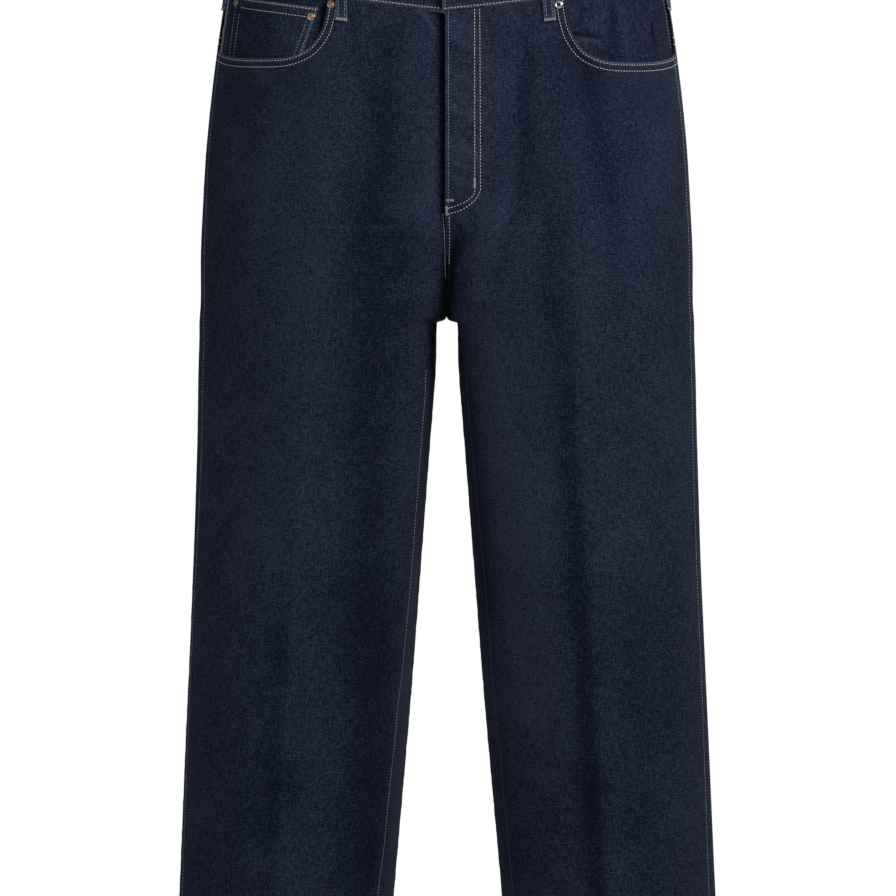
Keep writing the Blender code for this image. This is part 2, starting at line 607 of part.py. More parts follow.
def rivets():
    domed = ((0, 1.5), (0.9, 1.4), (1.3, 0.9), (2.9, 0.9), (3.6, 0.5), (3.8, 0.0), (0, 0))
    ring = ((0, 0.4), (1.2, 0.4), (1.5, 1.1), (2.9, 1.1), (3.6, 0.6), (3.8, 0.0), (0, 0))
    for rivet in RIVETS:
        at = np.array([rivet.p])
        t = row_of_drop(rivet.side, at, rivet.drop * MM)
        lift = rivet.out * MM + LAYER_GAP
        foot, top = (cloth_point(rivet.side, t, at, np.array([lift + h]))[0] for h in (0, MM))
        is_ring = rivet.side == LEFT
        profile = [(r * MM, z * MM) for r, z in (ring if is_ring else domed)]
        colour = NICKEL if is_ring else COPPER
        turned(rivet.name, profile, foot, top, colour=colour, roughness=0.3, metallic=1.0)


def waist_button():
    cap = ((0, 3.2), (4.0, 3.2), (4.8, 3.9), (7.2, 3.9), (8.3, 3.3), (8.5, 2.6), (7.6, 1.9))
    shank = ((3.0, 1.7), (2.6, 0), (0, 0))
    at = np.array([BUTTON_P])
    foot, top = (
        band_point(LEFT, BAND_HEIGHT / 2, at, np.array([BAND_PROUD + SEAM_GAP + h]))[0] for h in (0, MM)
    )
    profile = [(r * MM, z * MM) for r, z in cap + shank]
    turned("waist_button", profile, foot, top, colour=COPPER, roughness=0.35, metallic=1.0)


def clear_scene():
    for old in list(bpy.data.objects):
        bpy.data.objects.remove(old, do_unlink=True)


clear_scene()
JEANS = bpy.data.collections.new("wide_leg_jeans")
bpy.context.scene.collection.children.link(JEANS)

for leg in (RIGHT, LEFT):
    front_leg(leg)
    yoke(leg)
    back_leg(leg)
    back_pocket(leg)
    hem(leg)
    facing(leg)
coin_pocket()
fly_shield()
waistband()
belt_loops()
rivets()
waist_button()
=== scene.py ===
"""Wide leg jeans in dark denim, filled out as worn with nobody inside.

Metres, +Z up. The front faces -Y and the wearer's left is +X. The origin is on the centre front line of the
waist, halfway up the waistband. All cloth lies on one surface, worked out for each half of the garment:
t counts the rows of ROWS down from the waist seam to the hem, and p runs round one half, 0 at the centre
front or inseam, 1 at the front crease, 2 at the side, 3 at the back crease, 4 at the centre back or inseam.
"""

import math
from collections import namedtuple

import bmesh
import bpy
import numpy as np
from bpy.props import FloatProperty, FloatVectorProperty, PointerProperty
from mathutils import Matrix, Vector


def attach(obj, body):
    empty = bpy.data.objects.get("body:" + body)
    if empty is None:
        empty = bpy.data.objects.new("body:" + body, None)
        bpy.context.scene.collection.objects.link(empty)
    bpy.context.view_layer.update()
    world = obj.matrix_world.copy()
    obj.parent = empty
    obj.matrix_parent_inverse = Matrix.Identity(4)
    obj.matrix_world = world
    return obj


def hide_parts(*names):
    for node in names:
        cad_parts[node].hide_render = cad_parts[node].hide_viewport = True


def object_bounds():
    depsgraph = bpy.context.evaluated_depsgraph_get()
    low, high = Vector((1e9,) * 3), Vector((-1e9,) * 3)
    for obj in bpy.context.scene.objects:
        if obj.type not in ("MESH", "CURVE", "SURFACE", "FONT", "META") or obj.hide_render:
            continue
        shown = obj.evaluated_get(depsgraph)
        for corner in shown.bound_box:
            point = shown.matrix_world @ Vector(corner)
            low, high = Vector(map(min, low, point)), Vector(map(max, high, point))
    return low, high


bl_info = {
    "name": "Wide leg jeans",
    "version": (1, 0, 0),
    "blender": (4, 5, 0),
    "location": "View3D > Sidebar > Jeans",
    "description": "Cuts, sews and trims a pair of wide leg jeans on their packed solids",
    "category": "Object",
}

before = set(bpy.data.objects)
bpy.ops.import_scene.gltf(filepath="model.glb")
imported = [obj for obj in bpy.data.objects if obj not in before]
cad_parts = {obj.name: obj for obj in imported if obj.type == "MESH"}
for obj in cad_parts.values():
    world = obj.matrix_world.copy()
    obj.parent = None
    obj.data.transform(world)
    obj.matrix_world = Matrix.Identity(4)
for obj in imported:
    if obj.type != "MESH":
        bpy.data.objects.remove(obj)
CAD_BOX = [list(corner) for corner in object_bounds()]
BODY = "root"

MM = 0.001
TAU = 2 * math.pi
LEFT, RIGHT = 1, -1  # the wearer's, as the sign of X

# The sizes that the solids are made from.
WALL = 1.4 * MM
SEAM_GAP = 0.3 * MM
LAYER_GAP = 0.4 * MM
BAND_HEIGHT = 40 * MM
BAND_WALL = 2.4 * MM
BAND_LEAN = 0.12
LOOP_WALL = 1.6 * MM
LOOP_BELOW_SEAM = 20 * MM
LOOP_BULGE = 1.6 * MM
HEM_HEIGHT = 13 * MM

# One row for each level of a half, from the waist seam down. Millimetres and degrees.
# level: height of the row at its front crease; tilt: share of the waist seam's rise towards the back
# side, front, back: where the section reaches its side, its front crease and its back crease
# rise, seat: the section's two inner ends, which meet at the fork and then run down the inseam
# rise_turn, seat_turn: how far the cloth has turned from across to fore-and-aft at those ends
# full: roundness of the inner front quarter; crease: half the angle of the pressed crease
Row = namedtuple(
    "Row",
    "level tilt side_x side_y front_x front_y back_x back_y inner_x"
    " rise_y rise_z seat_y seat_z rise_turn seat_turn full crease",
)
ROWS = (
    Row(-20, 1.00, 194, 4, 100, -91, 96, 92, 0, -97, -20, 99, 32, 0, 0, 0.40, 0),
    Row(-56, 0.85, 200, 5, 100, -98, 97, 108, 0, -103, -56, 110, -12, 0, 0, 0.40, 0),
    Row(-96, 0.65, 206, 6, 101, -104, 99, 122, 0, -108, -96, 119, -60, 0, 0, 0.40, 1),
    Row(-140, 0.42, 211, 7, 104, -109, 101, 131, 0, -112, -140, 124, -110, 0, 3, 0.42, 2),
    Row(-184, 0.20, 214, 8, 107, -111, 103, 133, 0, -110, -182, 123, -160, 6, 8, 0.46, 3),
    Row(-222, 0.06, 216, 8, 109, -112, 104, 130, 0, -103, -219, 112, -206, 42, 28, 0.54, 4),
    Row(-250, 0.00, 216, 7, 111, -112, 105, 125, 0, -80, -249, 88, -244, 72, 58, 0.68, 5),
    Row(-268, 0.00, 216, 6, 112, -112, 106, 121, 0, -46, -270, 52, -269, 85, 80, 0.80, 5),
    Row(-283, 0.00, 217, 5, 113, -111, 107, 119, 0, 4, -279, 4, -279, 90, 90, 0.85, 6),
    Row(-298, 0.00, 217, 5, 113, -111, 107, 118, 8.0, 4, -282, 4, -282, 90, 90, 0.85, 6),
    Row(-332, 0.00, 218, 4, 114, -110, 108, 115, 9.5, 3, -326, 3, -326, 90, 90, 0.81, 7),
    Row(-394, 0.00, 219, 3, 117, -108, 112, 112, 14.5, 2, -392, 2, -392, 90, 90, 0.75, 8),
    Row(-500, 0.00, 222, 2, 124, -105, 120, 107, 22.5, 1, -500, 1, -500, 90, 90, 0.68, 9),
    Row(-620, 0.00, 227, 1, 131, -102, 128, 102, 31.5, 0, -620, 0, -620, 90, 90, 0.62, 9),
    Row(-788, 0.00, 234, 0, 140, -97, 138, 96, 46, -2, -788, -2, -788, 90, 90, 0.60, 9),
    Row(-930, 0.00, 240, -1, 148, -94, 148, 91, 57.5, -3, -930, -3, -930, 90, 90, 0.58, 9),
    Row(-1075, 0.00, 247, -2, 157, -92, 157, 88, 69, -4, -1075, -4, -1075, 90, 90, 0.58, 9),
)
ROW_TABLE = np.array([list(row) for row in ROWS], float)
SEAT_T, FORK_T, HEM_T = 4, 8, len(ROWS) - 1

FRONT_RISE, SIDE_RISE, BACK_RISE = 12.5 * MM, 31 * MM, 46 * MM
QUARTER = 0.55
BACK_CREASE = 0.7
CREASE_SHIFT = {LEFT: -5 * MM, RIGHT: 6 * MM}
LEG_SWING = {LEFT: 3.5 * MM, RIGHT: 0.5 * MM}
FLY_EDGE_X = -1.3 * MM
FLY_FOOT_Z = -185 * MM
LAP = {LEFT: 1.0 * MM, RIGHT: -1.2 * MM}
LAP_WIDTH = {LEFT: 34 * MM, RIGHT: 16 * MM}
SPAN = 125 * MM

SEAM_P = 1.86
MouthPoint = namedtuple("MouthPoint", "p drop")
POCKET_MOUTH = (
    MouthPoint(1.01, 0),
    MouthPoint(1.022, 18),
    MouthPoint(1.05, 34),
    MouthPoint(1.11, 49),
    MouthPoint(1.22, 59),
    MouthPoint(1.38, 62.5),
    MouthPoint(1.56, 63.5),
    MouthPoint(1.72, 62),
    MouthPoint(SEAM_P, 59),
)
MOUTH_TABLE = np.array([list(point) for point in POCKET_MOUTH], float)
MOUTH_DEPTH = {LEFT: 1.0, RIGHT: 0.945}
FACING_DROP = 80 * MM
COIN_INNER_P, COIN_INNER_FOOT_P, COIN_OUTER_P = 1.065, 1.19, 1.705
COIN_INNER_DROP, COIN_OUTER_DROP = 10.2 * MM, 6.0 * MM
COIN_FOOT = 74 * MM
COIN_WALL, FACING_WALL = 1.0 * MM, 1.2 * MM
YOKE_SIDE_DROP, YOKE_BACK_DROP = 42 * MM, 78 * MM
BACK_POCKET_P = (2.62, 3.56)
BACK_POCKET_T = (2.5, 4.5)
BACK_POCKET_POINT = 0.45  # of a row, how far its foot points down
LOOP_P = {LEFT: 0.885, RIGHT: 0.913}
LOOP_HALF_P, SIDE_LOOP_HALF_P = 0.047, 0.036
LOOP_TILT = {LEFT: 0.10, RIGHT: 0.0}  # of a front loop, outwards for each metre down
BAND_PROUD = 0.8 * MM
BAND_LAP = 1.3
BAND_END = 2.5 * MM
BUTTON_P = 0.10
Rivet = namedtuple("Rivet", "name side p drop out")
RIVETS = (
    Rivet("rivet_pocket_right", RIGHT, 0.990, 6.5, 0.0),
    Rivet("rivet_coin_inner", RIGHT, 1.105, 18.5, -1.8),
    Rivet("rivet_coin_outer", RIGHT, 1.685, 12.0, -1.8),
    Rivet("rivet_pocket_left", LEFT, 0.966, 6.0, 0.0),
)

# Folds by side: p and millimetres of height at each end, half-width and depth. A ridge is positive.
Fold = namedtuple("Fold", "p_top z_top p_foot z_foot width depth")
FOLDS = {
    RIGHT: (
        (0.62, -40, 0.74, -250, 17, -2.2), (0.86, -60, 0.88, -330, 20, 2.0), (0.50, -60, 0.52, -480, 22, -3.0),
        (0.30, -230, 0.42, -640, 26, 2.4), (1.45, -180, 1.38, -560, 30, -2.6), (1.75, -420, 1.62, -900, 30, 2.4),
        (0.55, -620, 0.48, -1060, 30, -2.8), (3.40, -215, 3.10, -330, 24, -3.0), (2.55, -280, 2.70, -620, 30, 2.6),
        (3.50, -420, 3.42, -820, 28, -2.6), (2.40, -700, 2.36, -1040, 32, -2.4),
    ),
    LEFT: (
        (0.66, -60, 0.60, -260, 18, -2.6), (1.28, -60, 1.36, -230, 20, -2.4), (0.45, -180, 0.50, -520, 24, 2.2),
        (1.50, -260, 1.42, -620, 30, 2.4), (0.62, -420, 0.58, -860, 28, -2.6), (1.60, -640, 1.66, -1040, 30, -2.2),
        (3.36, -220, 3.02, -345, 24, -3.2), (2.60, -300, 2.52, -680, 30, -2.6), (3.46, -380, 3.55, -760, 28, 2.4),
        (2.34, -640, 2.42, -1020, 32, 2.2),
    ),
}
# The finer ones, which only the shells have.
FINE_FOLDS = {
    RIGHT: (
        (0.36, -120, 0.30, -262, 9, -0.8), (0.74, -150, 0.70, -420, 11, 0.8), (1.22, -90, 1.16, -300, 12, -0.8),
        (1.64, -110, 1.60, -260, 10, 0.7), (0.16, -300, 0.40, -345, 10, -1.0), (1.72, -560, 1.30, -640, 13, -0.9),
        (0.20, -600, 0.60, -655, 12, -0.8), (1.18, -700, 1.24, -980, 14, 0.9), (0.84, -820, 0.80, -1050, 12, -0.8),
        (3.76, -180, 3.30, -262, 13, -1.4), (3.84, -250, 3.46, -292, 10, 1.0), (2.20, -150, 2.26, -420, 14, -0.9),
        (3.60, -600, 3.10, -660, 14, -1.2), (2.30, -590, 2.86, -640, 13, 0.9), (3.14, -760, 3.08, -1030, 14, 0.9),
    ),
    LEFT: (
        (0.34, -110, 0.28, -258, 9, -0.9), (0.84, -120, 0.80, -330, 11, 0.8), (1.10, -110, 1.14, -290, 12, -0.8),
        (1.62, -90, 1.66, -240, 10, 0.8), (0.18, -296, 0.44, -350, 10, -1.0), (1.70, -600, 1.36, -660, 13, -0.8),
        (0.24, -650, 0.58, -700, 12, -0.9), (1.20, -560, 1.26, -860, 14, -0.8), (0.40, -840, 0.44, -1050, 13, 0.8),
        (3.78, -170, 3.34, -255, 13, -1.3), (3.86, -246, 3.50, -290, 10, 1.0), (2.18, -170, 2.24, -440, 14, 0.9),
        (3.66, -620, 3.16, -690, 14, -1.1), (2.26, -560, 2.80, -620, 13, -0.9), (2.90, -800, 2.96, -1040, 14, -0.9),
    ),
}


# Long soft ridges and hollows: half-width and height in millimetres, their painted light and shade (above 0 paler,
# below 0 darker), and the places (height in millimetres, p) that they pass.
Course = namedtuple("Course", "side width height shade places")
COURSES = (
    Course(RIGHT, 25, 0.0, -1.15, (
        (-40, 0.50), (-139, 0.52), (-225, 0.70), (-310, 0.75), (-396, 0.71), (-524, 0.62), (-652, 0.54), (-772, 0.47),
        (-1075, 0.43))),
    Course(RIGHT, 12, -2.2, 0.0, ((-60, 0.80), (-225, 0.84), (-396, 0.86), (-524, 0.78), (-700, 0.72))),
    Course(RIGHT, 16, 2.2, 0.0, ((-60, 0.36), (-182, 0.38), (-267, 0.58), (-396, 0.58), (-524, 0.52), (-760, 0.40))),
    Course(RIGHT, 15, 1.0, 0.30, ((-60, 0.99), (-182, 0.99), (-310, 1.0), (-396, 0.98), (-524, 0.92))),
    Course(RIGHT, 8, -0.5, -0.75, ((-540, 1.07), (-652, 1.06), (-1075, 1.05))),
    Course(RIGHT, 14, 0.7, 0.95, ((-165, 0.10), (-205, 0.20), (-235, 0.31), (-285, 0.42))),
    Course(RIGHT, 14, 0.0, 0.75, ((-480, 0.26), (-1075, 0.24))),
    Course(RIGHT, 70, 0.0, -0.38, ((-500, 0.9), (-650, 0.9), (-1075, 0.9))),
    Course(RIGHT, 34, 0.0, 0.50, ((-120, 1.38), (-300, 1.38), (-640, 1.36))),
    Course(RIGHT, 5.5, 0.6, 1.7, ((-64, 1.66), (-90, 1.32))),
    Course(RIGHT, 2.8, 0.6, 2.4, ((-17, 0.24), (-38, 0.07))),
    Course(RIGHT, 7, -0.8, -0.8, ((-18, 0.84), (-62, 0.80))),
    Course(LEFT, 9, -1.8, -1.15, ((-45, 0.71), (-139, 0.655), (-208, 0.60), (-270, 0.62))),
    Course(LEFT, 11, -1.5, -1.15, ((-50, 1.08), (-120, 1.16), (-205, 1.23))),
    Course(LEFT, 7.5, -1.2, -1.05, ((-195, 0.86), (-267, 0.94), (-330, 0.96), (-524, 0.95), (-1075, 0.94))),
    Course(LEFT, 30, 0.0, 1.25, ((-190, 0.50), (-310, 0.60), (-524, 0.62), (-640, 0.62))),
    Course(LEFT, 17, -0.8, -1.35, ((-330, 0.32), (-440, 0.34), (-550, 0.26))),
    Course(LEFT, 26, 0.0, 0.45, ((-640, 0.60), (-1075, 0.58))),
    Course(LEFT, 13, 0.4, 0.45, ((-385, 0.82), (-560, 0.72))),
    Course(LEFT, 9, 0.0, -2.6, ((-212, 0.20), (-235, 0.16), (-262, 0.10), (-291, 0.10))),
    Course(LEFT, 16, 0.0, -3.2, ((-236, 0.01), (-258, 0.09), (-275, 0.13), (-292, 0.15), (-322, 0.10))),
    Course(RIGHT, 10, 0.0, -3.0, ((-232, 0.0), (-262, 0.03), (-292, 0.07), (-322, 0.04))),
    Course(LEFT, 60, 0.0, -0.68, ((-510, 1.2), (-700, 1.2), (-1075, 1.2))),
    Course(LEFT, 4.5, 0.4, 1.1, ((-196, 0.10), (-214, 0.26))),
    Course(RIGHT, 13, -1.4, -0.50, ((-230, 3.50), (-290, 3.30), (-380, 3.16))),
    Course(RIGHT, 20, 1.0, 0.40, ((-330, 2.60), (-560, 2.70), (-800, 2.66))),
    Course(RIGHT, 8, -0.8, -0.60, ((-330, 3.05), (-700, 3.05), (-1075, 3.04))),
    Course(LEFT, 14, -1.5, -0.55, ((-225, 3.54), (-300, 3.24), (-400, 3.12))),
    Course(LEFT, 19, -1.1, -0.45, ((-420, 2.58), (-700, 2.50), (-980, 2.56))),
    Course(LEFT, 8, -0.7, -0.55, ((-360, 3.05), (-760, 3.06), (-1075, 3.05))),
)
COURSE_END, COURSE_END_SHARE = 30 * MM, 0.35  # how soft its ends are: at most, and as a share of its length
COURSE_PAST_HEM = 4  # of its ends' softness, how far past the hem a course runs that reaches it
# The pressed creases: how high they stand, how fast they fall away, and the places they pass.
PRESS_HEIGHT, PRESS_REACH = 1.7 * MM, 6.5 * MM
PRESSED = {
    RIGHT: ((-380, 1.0), (-560, 1.0), (-1075, 1.0)),
    LEFT: ((-205, 0.90), (-267, 0.95), (-330, 0.99), (-1075, 1.0)),
}


def smoothstep(low, high, x):
    s = np.clip((x - low) / (high - low), 0, 1)
    return s * s * (3 - 2 * s)


def along(values, t):
    """The values, one array for each whole number, at the fractional numbers t on a smooth curve."""
    last = len(values) - 1
    t = np.clip(t, 0, last)
    i = np.minimum(t.astype(int), last - 1)
    s = t - i
    at = (i,) + tuple(np.indices(t.shape)) if values.ndim > 1 else (i,)

    def value(k):
        return values[(k,) + at[1:]]

    here, after = value(i), value(i + 1)
    before = np.where(i > 0, value(np.maximum(i - 1, 0)), 2 * here - after)
    beyond = np.where(i < last - 1, value(np.minimum(i + 2, last)), 2 * after - here)
    straight = 2 * here + (after - before) * s
    bend = (2 * before - 5 * here + 4 * after - beyond) * s**2
    twist = (3 * here - before - 3 * after + beyond) * s**3
    return 0.5 * (straight + bend + twist)


def bezier(start, start_handle, end_handle, end, s):
    return (
        start * (1 - s) ** 3
        + 3 * start_handle * s * (1 - s) ** 2
        + 3 * end_handle * s**2 * (1 - s)
        + end * s**3
    )


FINE_T = np.linspace(0, HEM_T, 16001)
FINE_ROWS = {name: along(ROW_TABLE[:, i], FINE_T) for i, name in enumerate(Row._fields)}


def section_point(side, t, p):
    """The cloth without its folds, on the +X side whichever side it is for."""
    t, p = np.broadcast_arrays(np.asarray(t, float), np.asarray(p, float))
    row = {name: np.interp(t, FINE_T, values) for name, values in FINE_ROWS.items()}
    length = ("level", "side_x", "side_y", "front_x", "front_y", "back_x", "back_y", "inner_x")
    for name in length + ("rise_y", "rise_z", "seat_y", "seat_z"):
        row[name] = row[name] * MM
    for rise, seat in (("rise_y", "seat_y"), ("rise_z", "seat_z")):
        inseam = (row[rise] + row[seat]) / 2
        row[rise] = np.where(t < FORK_T, row[rise], inseam)
        row[seat] = np.where(t < FORK_T, row[seat], inseam)
    below_fork = smoothstep(FORK_T, FORK_T + 1, t)
    swing = LEG_SWING[side] * np.clip(-row["level"] / 1.0, 0, None)
    fly = 1 - smoothstep(-FLY_FOOT_Z, 35 * MM - FLY_FOOT_Z, -row["level"])
    at_middle = side * FLY_EDGE_X * fly
    inner_x = np.clip(row["inner_x"], 0, None) + at_middle * (1 - below_fork) + swing * below_fork
    side_x = row["side_x"] + swing
    shift = CREASE_SHIFT[side] * smoothstep(1, FORK_T, t) + swing
    front_x, back_x = row["front_x"] + shift, row["back_x"] + shift

    rise_turn, seat_turn = np.radians(row["rise_turn"]), np.radians(row["seat_turn"])
    crease = np.radians(row["crease"])
    ends = (
        (inner_x, row["rise_y"]),
        (front_x, row["front_y"]),
        (side_x, row["side_y"]),
        (back_x, row["back_y"]),
        (inner_x, row["seat_y"]),
    )
    ways = (
        ((np.cos(rise_turn), -np.sin(rise_turn)),) * 2,
        ((np.cos(crease), -np.sin(crease)), (np.cos(crease), np.sin(crease))),
        ((0 * crease, 1 + 0 * crease),) * 2,
        ((-np.cos(BACK_CREASE * crease), np.sin(BACK_CREASE * crease)),
         (-np.cos(BACK_CREASE * crease), -np.sin(BACK_CREASE * crease))),
        ((-np.cos(seat_turn), -np.sin(seat_turn)),) * 2,
    )
    full = row["full"]
    quarter = np.clip(p.astype(int), 0, 3)
    x, y = np.zeros_like(p), np.zeros_like(p)
    for k in range(4):
        (x0, y0), (x1, y1) = ends[k], ends[k + 1]
        leave, arrive = ways[k][1], ways[k + 1][0]
        reach = (np.abs(x1 - x0), np.abs(y1 - y0))
        roundness = (full, QUARTER, QUARTER, (full + QUARTER) / 2)[k]
        start_reach = roundness * (leave[0] ** 4 * reach[0] + np.abs(leave[1]) * reach[1])
        end_reach = roundness * (arrive[0] ** 4 * reach[0] + np.abs(arrive[1]) * reach[1])
        s = p - k
        here = quarter == k
        along_x = bezier(x0, x0 + leave[0] * start_reach, x1 - arrive[0] * end_reach, x1, s)
        along_y = bezier(y0, y0 + leave[1] * start_reach, y1 - arrive[1] * end_reach, y1, s)
        x, y = np.where(here, along_x, x), np.where(here, along_y, y)

    heights = (
        row["rise_z"],
        row["level"] + row["tilt"] * FRONT_RISE,
        row["level"] + row["tilt"] * SIDE_RISE,
        row["level"] + row["tilt"] * BACK_RISE,
        row["seat_z"],
    )
    return np.stack([x, y, along(np.stack(heights), p)], axis=-1)


LAP_SPAN, FRONT_SPAN = 100, 105  # millimetres of a front for each whole p, in the lap and beside the fly


def fly_lap(side, p):
    """How far a front's edge is pushed out, or in, where the left one laps over the right."""
    from_fly = p * LAP_SPAN * MM
    return LAP[side] * (1 - smoothstep(LAP_WIDTH[side] * 0.55, LAP_WIDTH[side], from_fly))


def folds_height(folds, p, z):
    """How far a list of soft folds lifts the cloth."""
    height = np.zeros_like(z)
    for fold in map(Fold._make, folds):
        s = (fold.z_top * MM - z) / ((fold.z_top - fold.z_foot) * MM)
        middle = fold.p_top + (fold.p_foot - fold.p_top) * s
        away = (p - middle) * SPAN / (fold.width * MM)
        ends = smoothstep(-0.1, 0.3, s) * (1 - smoothstep(0.7, 1.1, s))
        height = height + fold.depth * MM * np.exp(-away * away) * ends
    return height


COURSE_WAVES, PRESS_WAVES = (205 * MM, 122 * MM, 71 * MM), (170 * MM, 96 * MM, 61 * MM)


def courses(side, p, z):
    """The courses' heights and their painted light and shade together."""
    height, shade = np.zeros_like(z), np.zeros_like(z)
    for number, course in enumerate(COURSES):
        if course.side != side:
            continue
        level, place = (np.array(values) for values in zip(*course.places))
        level = level * MM
        away = (p - np.interp(-z, -level, place)) * SPAN / (course.width * MM)
        end = min(COURSE_END, COURSE_END_SHARE * (level[0] - level[-1]))
        foot = level[-1] - (COURSE_PAST_HEM * end if level[-1] <= LEVELS[-1] else 0)
        ends = smoothstep(z - end, z + end, level[0]) * (1 - smoothstep(z - end, z + end, foot))
        uneven = 1 + 0.15 * uneven_wave(z, COURSE_WAVES, 91 + number)
        share = np.exp(-away * away) * ends * uneven
        height, shade = height + course.height * MM * share, shade + course.shade * share
    return height, shade


def pressed(side, p, z):
    """A sharp ridge along the front and the back crease, uneven along its length."""
    level, place = (np.array(values) for values in zip(*PRESSED[side]))
    here = smoothstep(-level[0] * MM, -level[0] * MM + 0.13, -z)
    front = np.interp(-z, -level * MM, place)
    height = sum(np.exp(-np.abs(p - way) * SPAN / PRESS_REACH) for way in (front, np.full_like(z, 3.0)))
    uneven = 0.75 + 0.25 * uneven_wave(z, PRESS_WAVES, 77 + side)
    return PRESS_HEIGHT * height * here * uneven


def uneven_wave(s, lengths, seed):
    """A wave between -1 and 1 along s, of a few wave lengths, so that no two crests are alike."""
    starts = np.random.default_rng(seed).random(len(lengths))
    return sum(np.sin(TAU * (s / length + start)) for length, start in zip(lengths, starts)) / len(lengths)


PUCKER_LENGTHS = (9 * MM, 13.5 * MM, 21 * MM, 34 * MM)
PUCKER_REACH = 9 * MM
SIDE_PUCKER, INSEAM_PUCKER, RISE_PUCKER = 0.34 * MM, 0.30 * MM, 0.5 * MM
WAIST_PUCKER, HEM_PUCKER = 0.30 * MM, 0.40 * MM


def puckers(side, t, p, z):
    """The cloth drawn in between the stitches of the long seams."""
    height = np.zeros_like(z)
    below_fork = smoothstep(FORK_T - 0.5, FORK_T + 0.5, t)
    for place, depth, seed in ((SEAM_P, SIDE_PUCKER, 3), (0.0, INSEAM_PUCKER, 5), (4.0, INSEAM_PUCKER, 5)):
        away = (p - place) * SPAN / PUCKER_REACH
        wave = uneven_wave(z + 0.35 * away * PUCKER_REACH, PUCKER_LENGTHS, seed + side)
        share = 1 if place == SEAM_P else below_fork
        height = height + depth * wave * np.exp(-away * away) * share
    for place, seed in ((0.0, 9), (4.0, 13)):
        away = np.abs(p - place) * SPAN / PUCKER_REACH
        wave = uneven_wave(z, PUCKER_LENGTHS, seed + side)
        height = height + RISE_PUCKER * wave * away * np.exp(-away * away) * (1 - below_fork)
    round_way = p * SPAN
    below_waist = t * 36 * MM / (14 * MM)
    at_waist = uneven_wave(round_way, PUCKER_LENGTHS, 17 + side) * np.exp(-below_waist * below_waist)
    above_hem = (HEM_T - t) * 145 * MM / (16 * MM)
    at_hem = uneven_wave(round_way + 0.6 * above_hem * 16 * MM, PUCKER_LENGTHS, 23 + side)
    at_hem = at_hem * np.exp(-above_hem * above_hem)
    ends = smoothstep(0, 0.1, p) * (1 - smoothstep(3.9, 4, p))
    return height + (WAIST_PUCKER * at_waist + HEM_PUCKER * at_hem) * ends


DRIFT_HEIGHT = 0.45 * MM
DRIFT_ACROSS, DRIFT_DOWN = (74 * MM, 118 * MM, 51 * MM), (210 * MM, 330 * MM, 145 * MM)


def drift(side, p, z):
    """The broad unevenness of hanging cloth, long down the leg and short round it."""
    across = p * SPAN
    height = DRIFT_HEIGHT * uneven_wave(across + 0.10 * z, DRIFT_ACROSS, 31 + side)
    down = uneven_wave(z + 0.2 * across, DRIFT_DOWN, 41 + side)
    ends = smoothstep(0, 0.25, p) * (1 - smoothstep(3.75, 4, p))
    return height * (1 + 0.8 * down) * ends


# Where the right front dips under the fly's edge: how deep and how far, at the top and at the foot.
FLY_HOLLOW, FLY_HOLLOW_REACH = (4.2 * MM, 1.9 * MM), (9.5 * MM, 4.8 * MM)
FLY_HOLLOW_ENDS, FLY_HOLLOW_OVER = (0.02, 0.20), (0.255, 0.17)
FLY_LAP_OVER = (0.235, 0.27)  # below the waist, where the lap flattens out above the fork


def fly_hollow(side, p, z):
    """The dip of the right front beside the fly's edge; the left front has none."""
    if side == LEFT:
        return np.zeros_like(z)
    away = np.abs(p) * FRONT_SPAN * MM / np.interp(-z, FLY_HOLLOW_ENDS, FLY_HOLLOW_REACH)
    depth = np.interp(-z, FLY_HOLLOW_ENDS, FLY_HOLLOW)
    return -depth * np.exp(-away * away) * smoothstep(*FLY_HOLLOW_OVER, -z)


def relief(side, t, p, z):
    """How far the cloth stands out of the section."""
    fade = 1 - 0.75 * smoothstep(-FLY_FOOT_Z, 30 * MM - FLY_FOOT_Z, -z)
    above_fork = 1 - smoothstep(*FLY_LAP_OVER, -z)
    lap = fly_lap(side, p) * fade * above_fork
    folds = folds_height(FOLDS[side], p, z) + folds_height(FINE_FOLDS[side], p, z)
    folds = folds + courses(side, p, z)[0] + pressed(side, p, z)
    return folds + lap + fly_hollow(side, p, z) + puckers(side, t, p, z) + drift(side, p, z)


def surface_normal(point, t, p):
    """Unit normals, facing out, of the surface point(t, p)."""
    step = 0.01
    t0, t1 = np.clip(t - step, 0, HEM_T), np.clip(t + step, 0, HEM_T)
    p0, p1 = np.clip(p - step, 0, 4), np.clip(p + step, 0, 4)
    normal = np.cross(point(t1, p) - point(t0, p), point(t, p1) - point(t, p0))
    return normal / np.linalg.norm(normal, axis=-1, keepdims=True)


def half_point(side, t, p):
    smooth = section_point(side, t, p)
    normal = surface_normal(lambda a, b: section_point(side, a, b), t, p)
    return smooth + normal * relief(side, t, p, smooth[..., 2])[..., None]


def cloth_face(side, t, p):
    """The cloth's outer face and its unit normals."""
    t, p = np.broadcast_arrays(np.asarray(t, float), np.asarray(p, float))
    normal = surface_normal(lambda a, b: half_point(side, a, b), t, p)
    return half_point(side, t, p) * (side, 1, 1), normal * (side, 1, 1)


def row_of_drop(side, p, drop):
    """The row number at a distance down the cloth from the waist seam, in each column p."""
    p, drop = np.broadcast_arrays(p, drop)
    rows = np.linspace(0, SEAT_T, 81)
    columns = section_point(side, rows[:, None], p.ravel()[None])
    lengths = np.cumsum(np.linalg.norm(np.diff(columns, axis=0), axis=-1), axis=0)
    lengths = np.concatenate([np.zeros((1, lengths.shape[1])), lengths])
    found = [np.interp(d, lengths[:, i], rows) for i, d in enumerate(drop.ravel())]
    return np.array(found).reshape(p.shape)


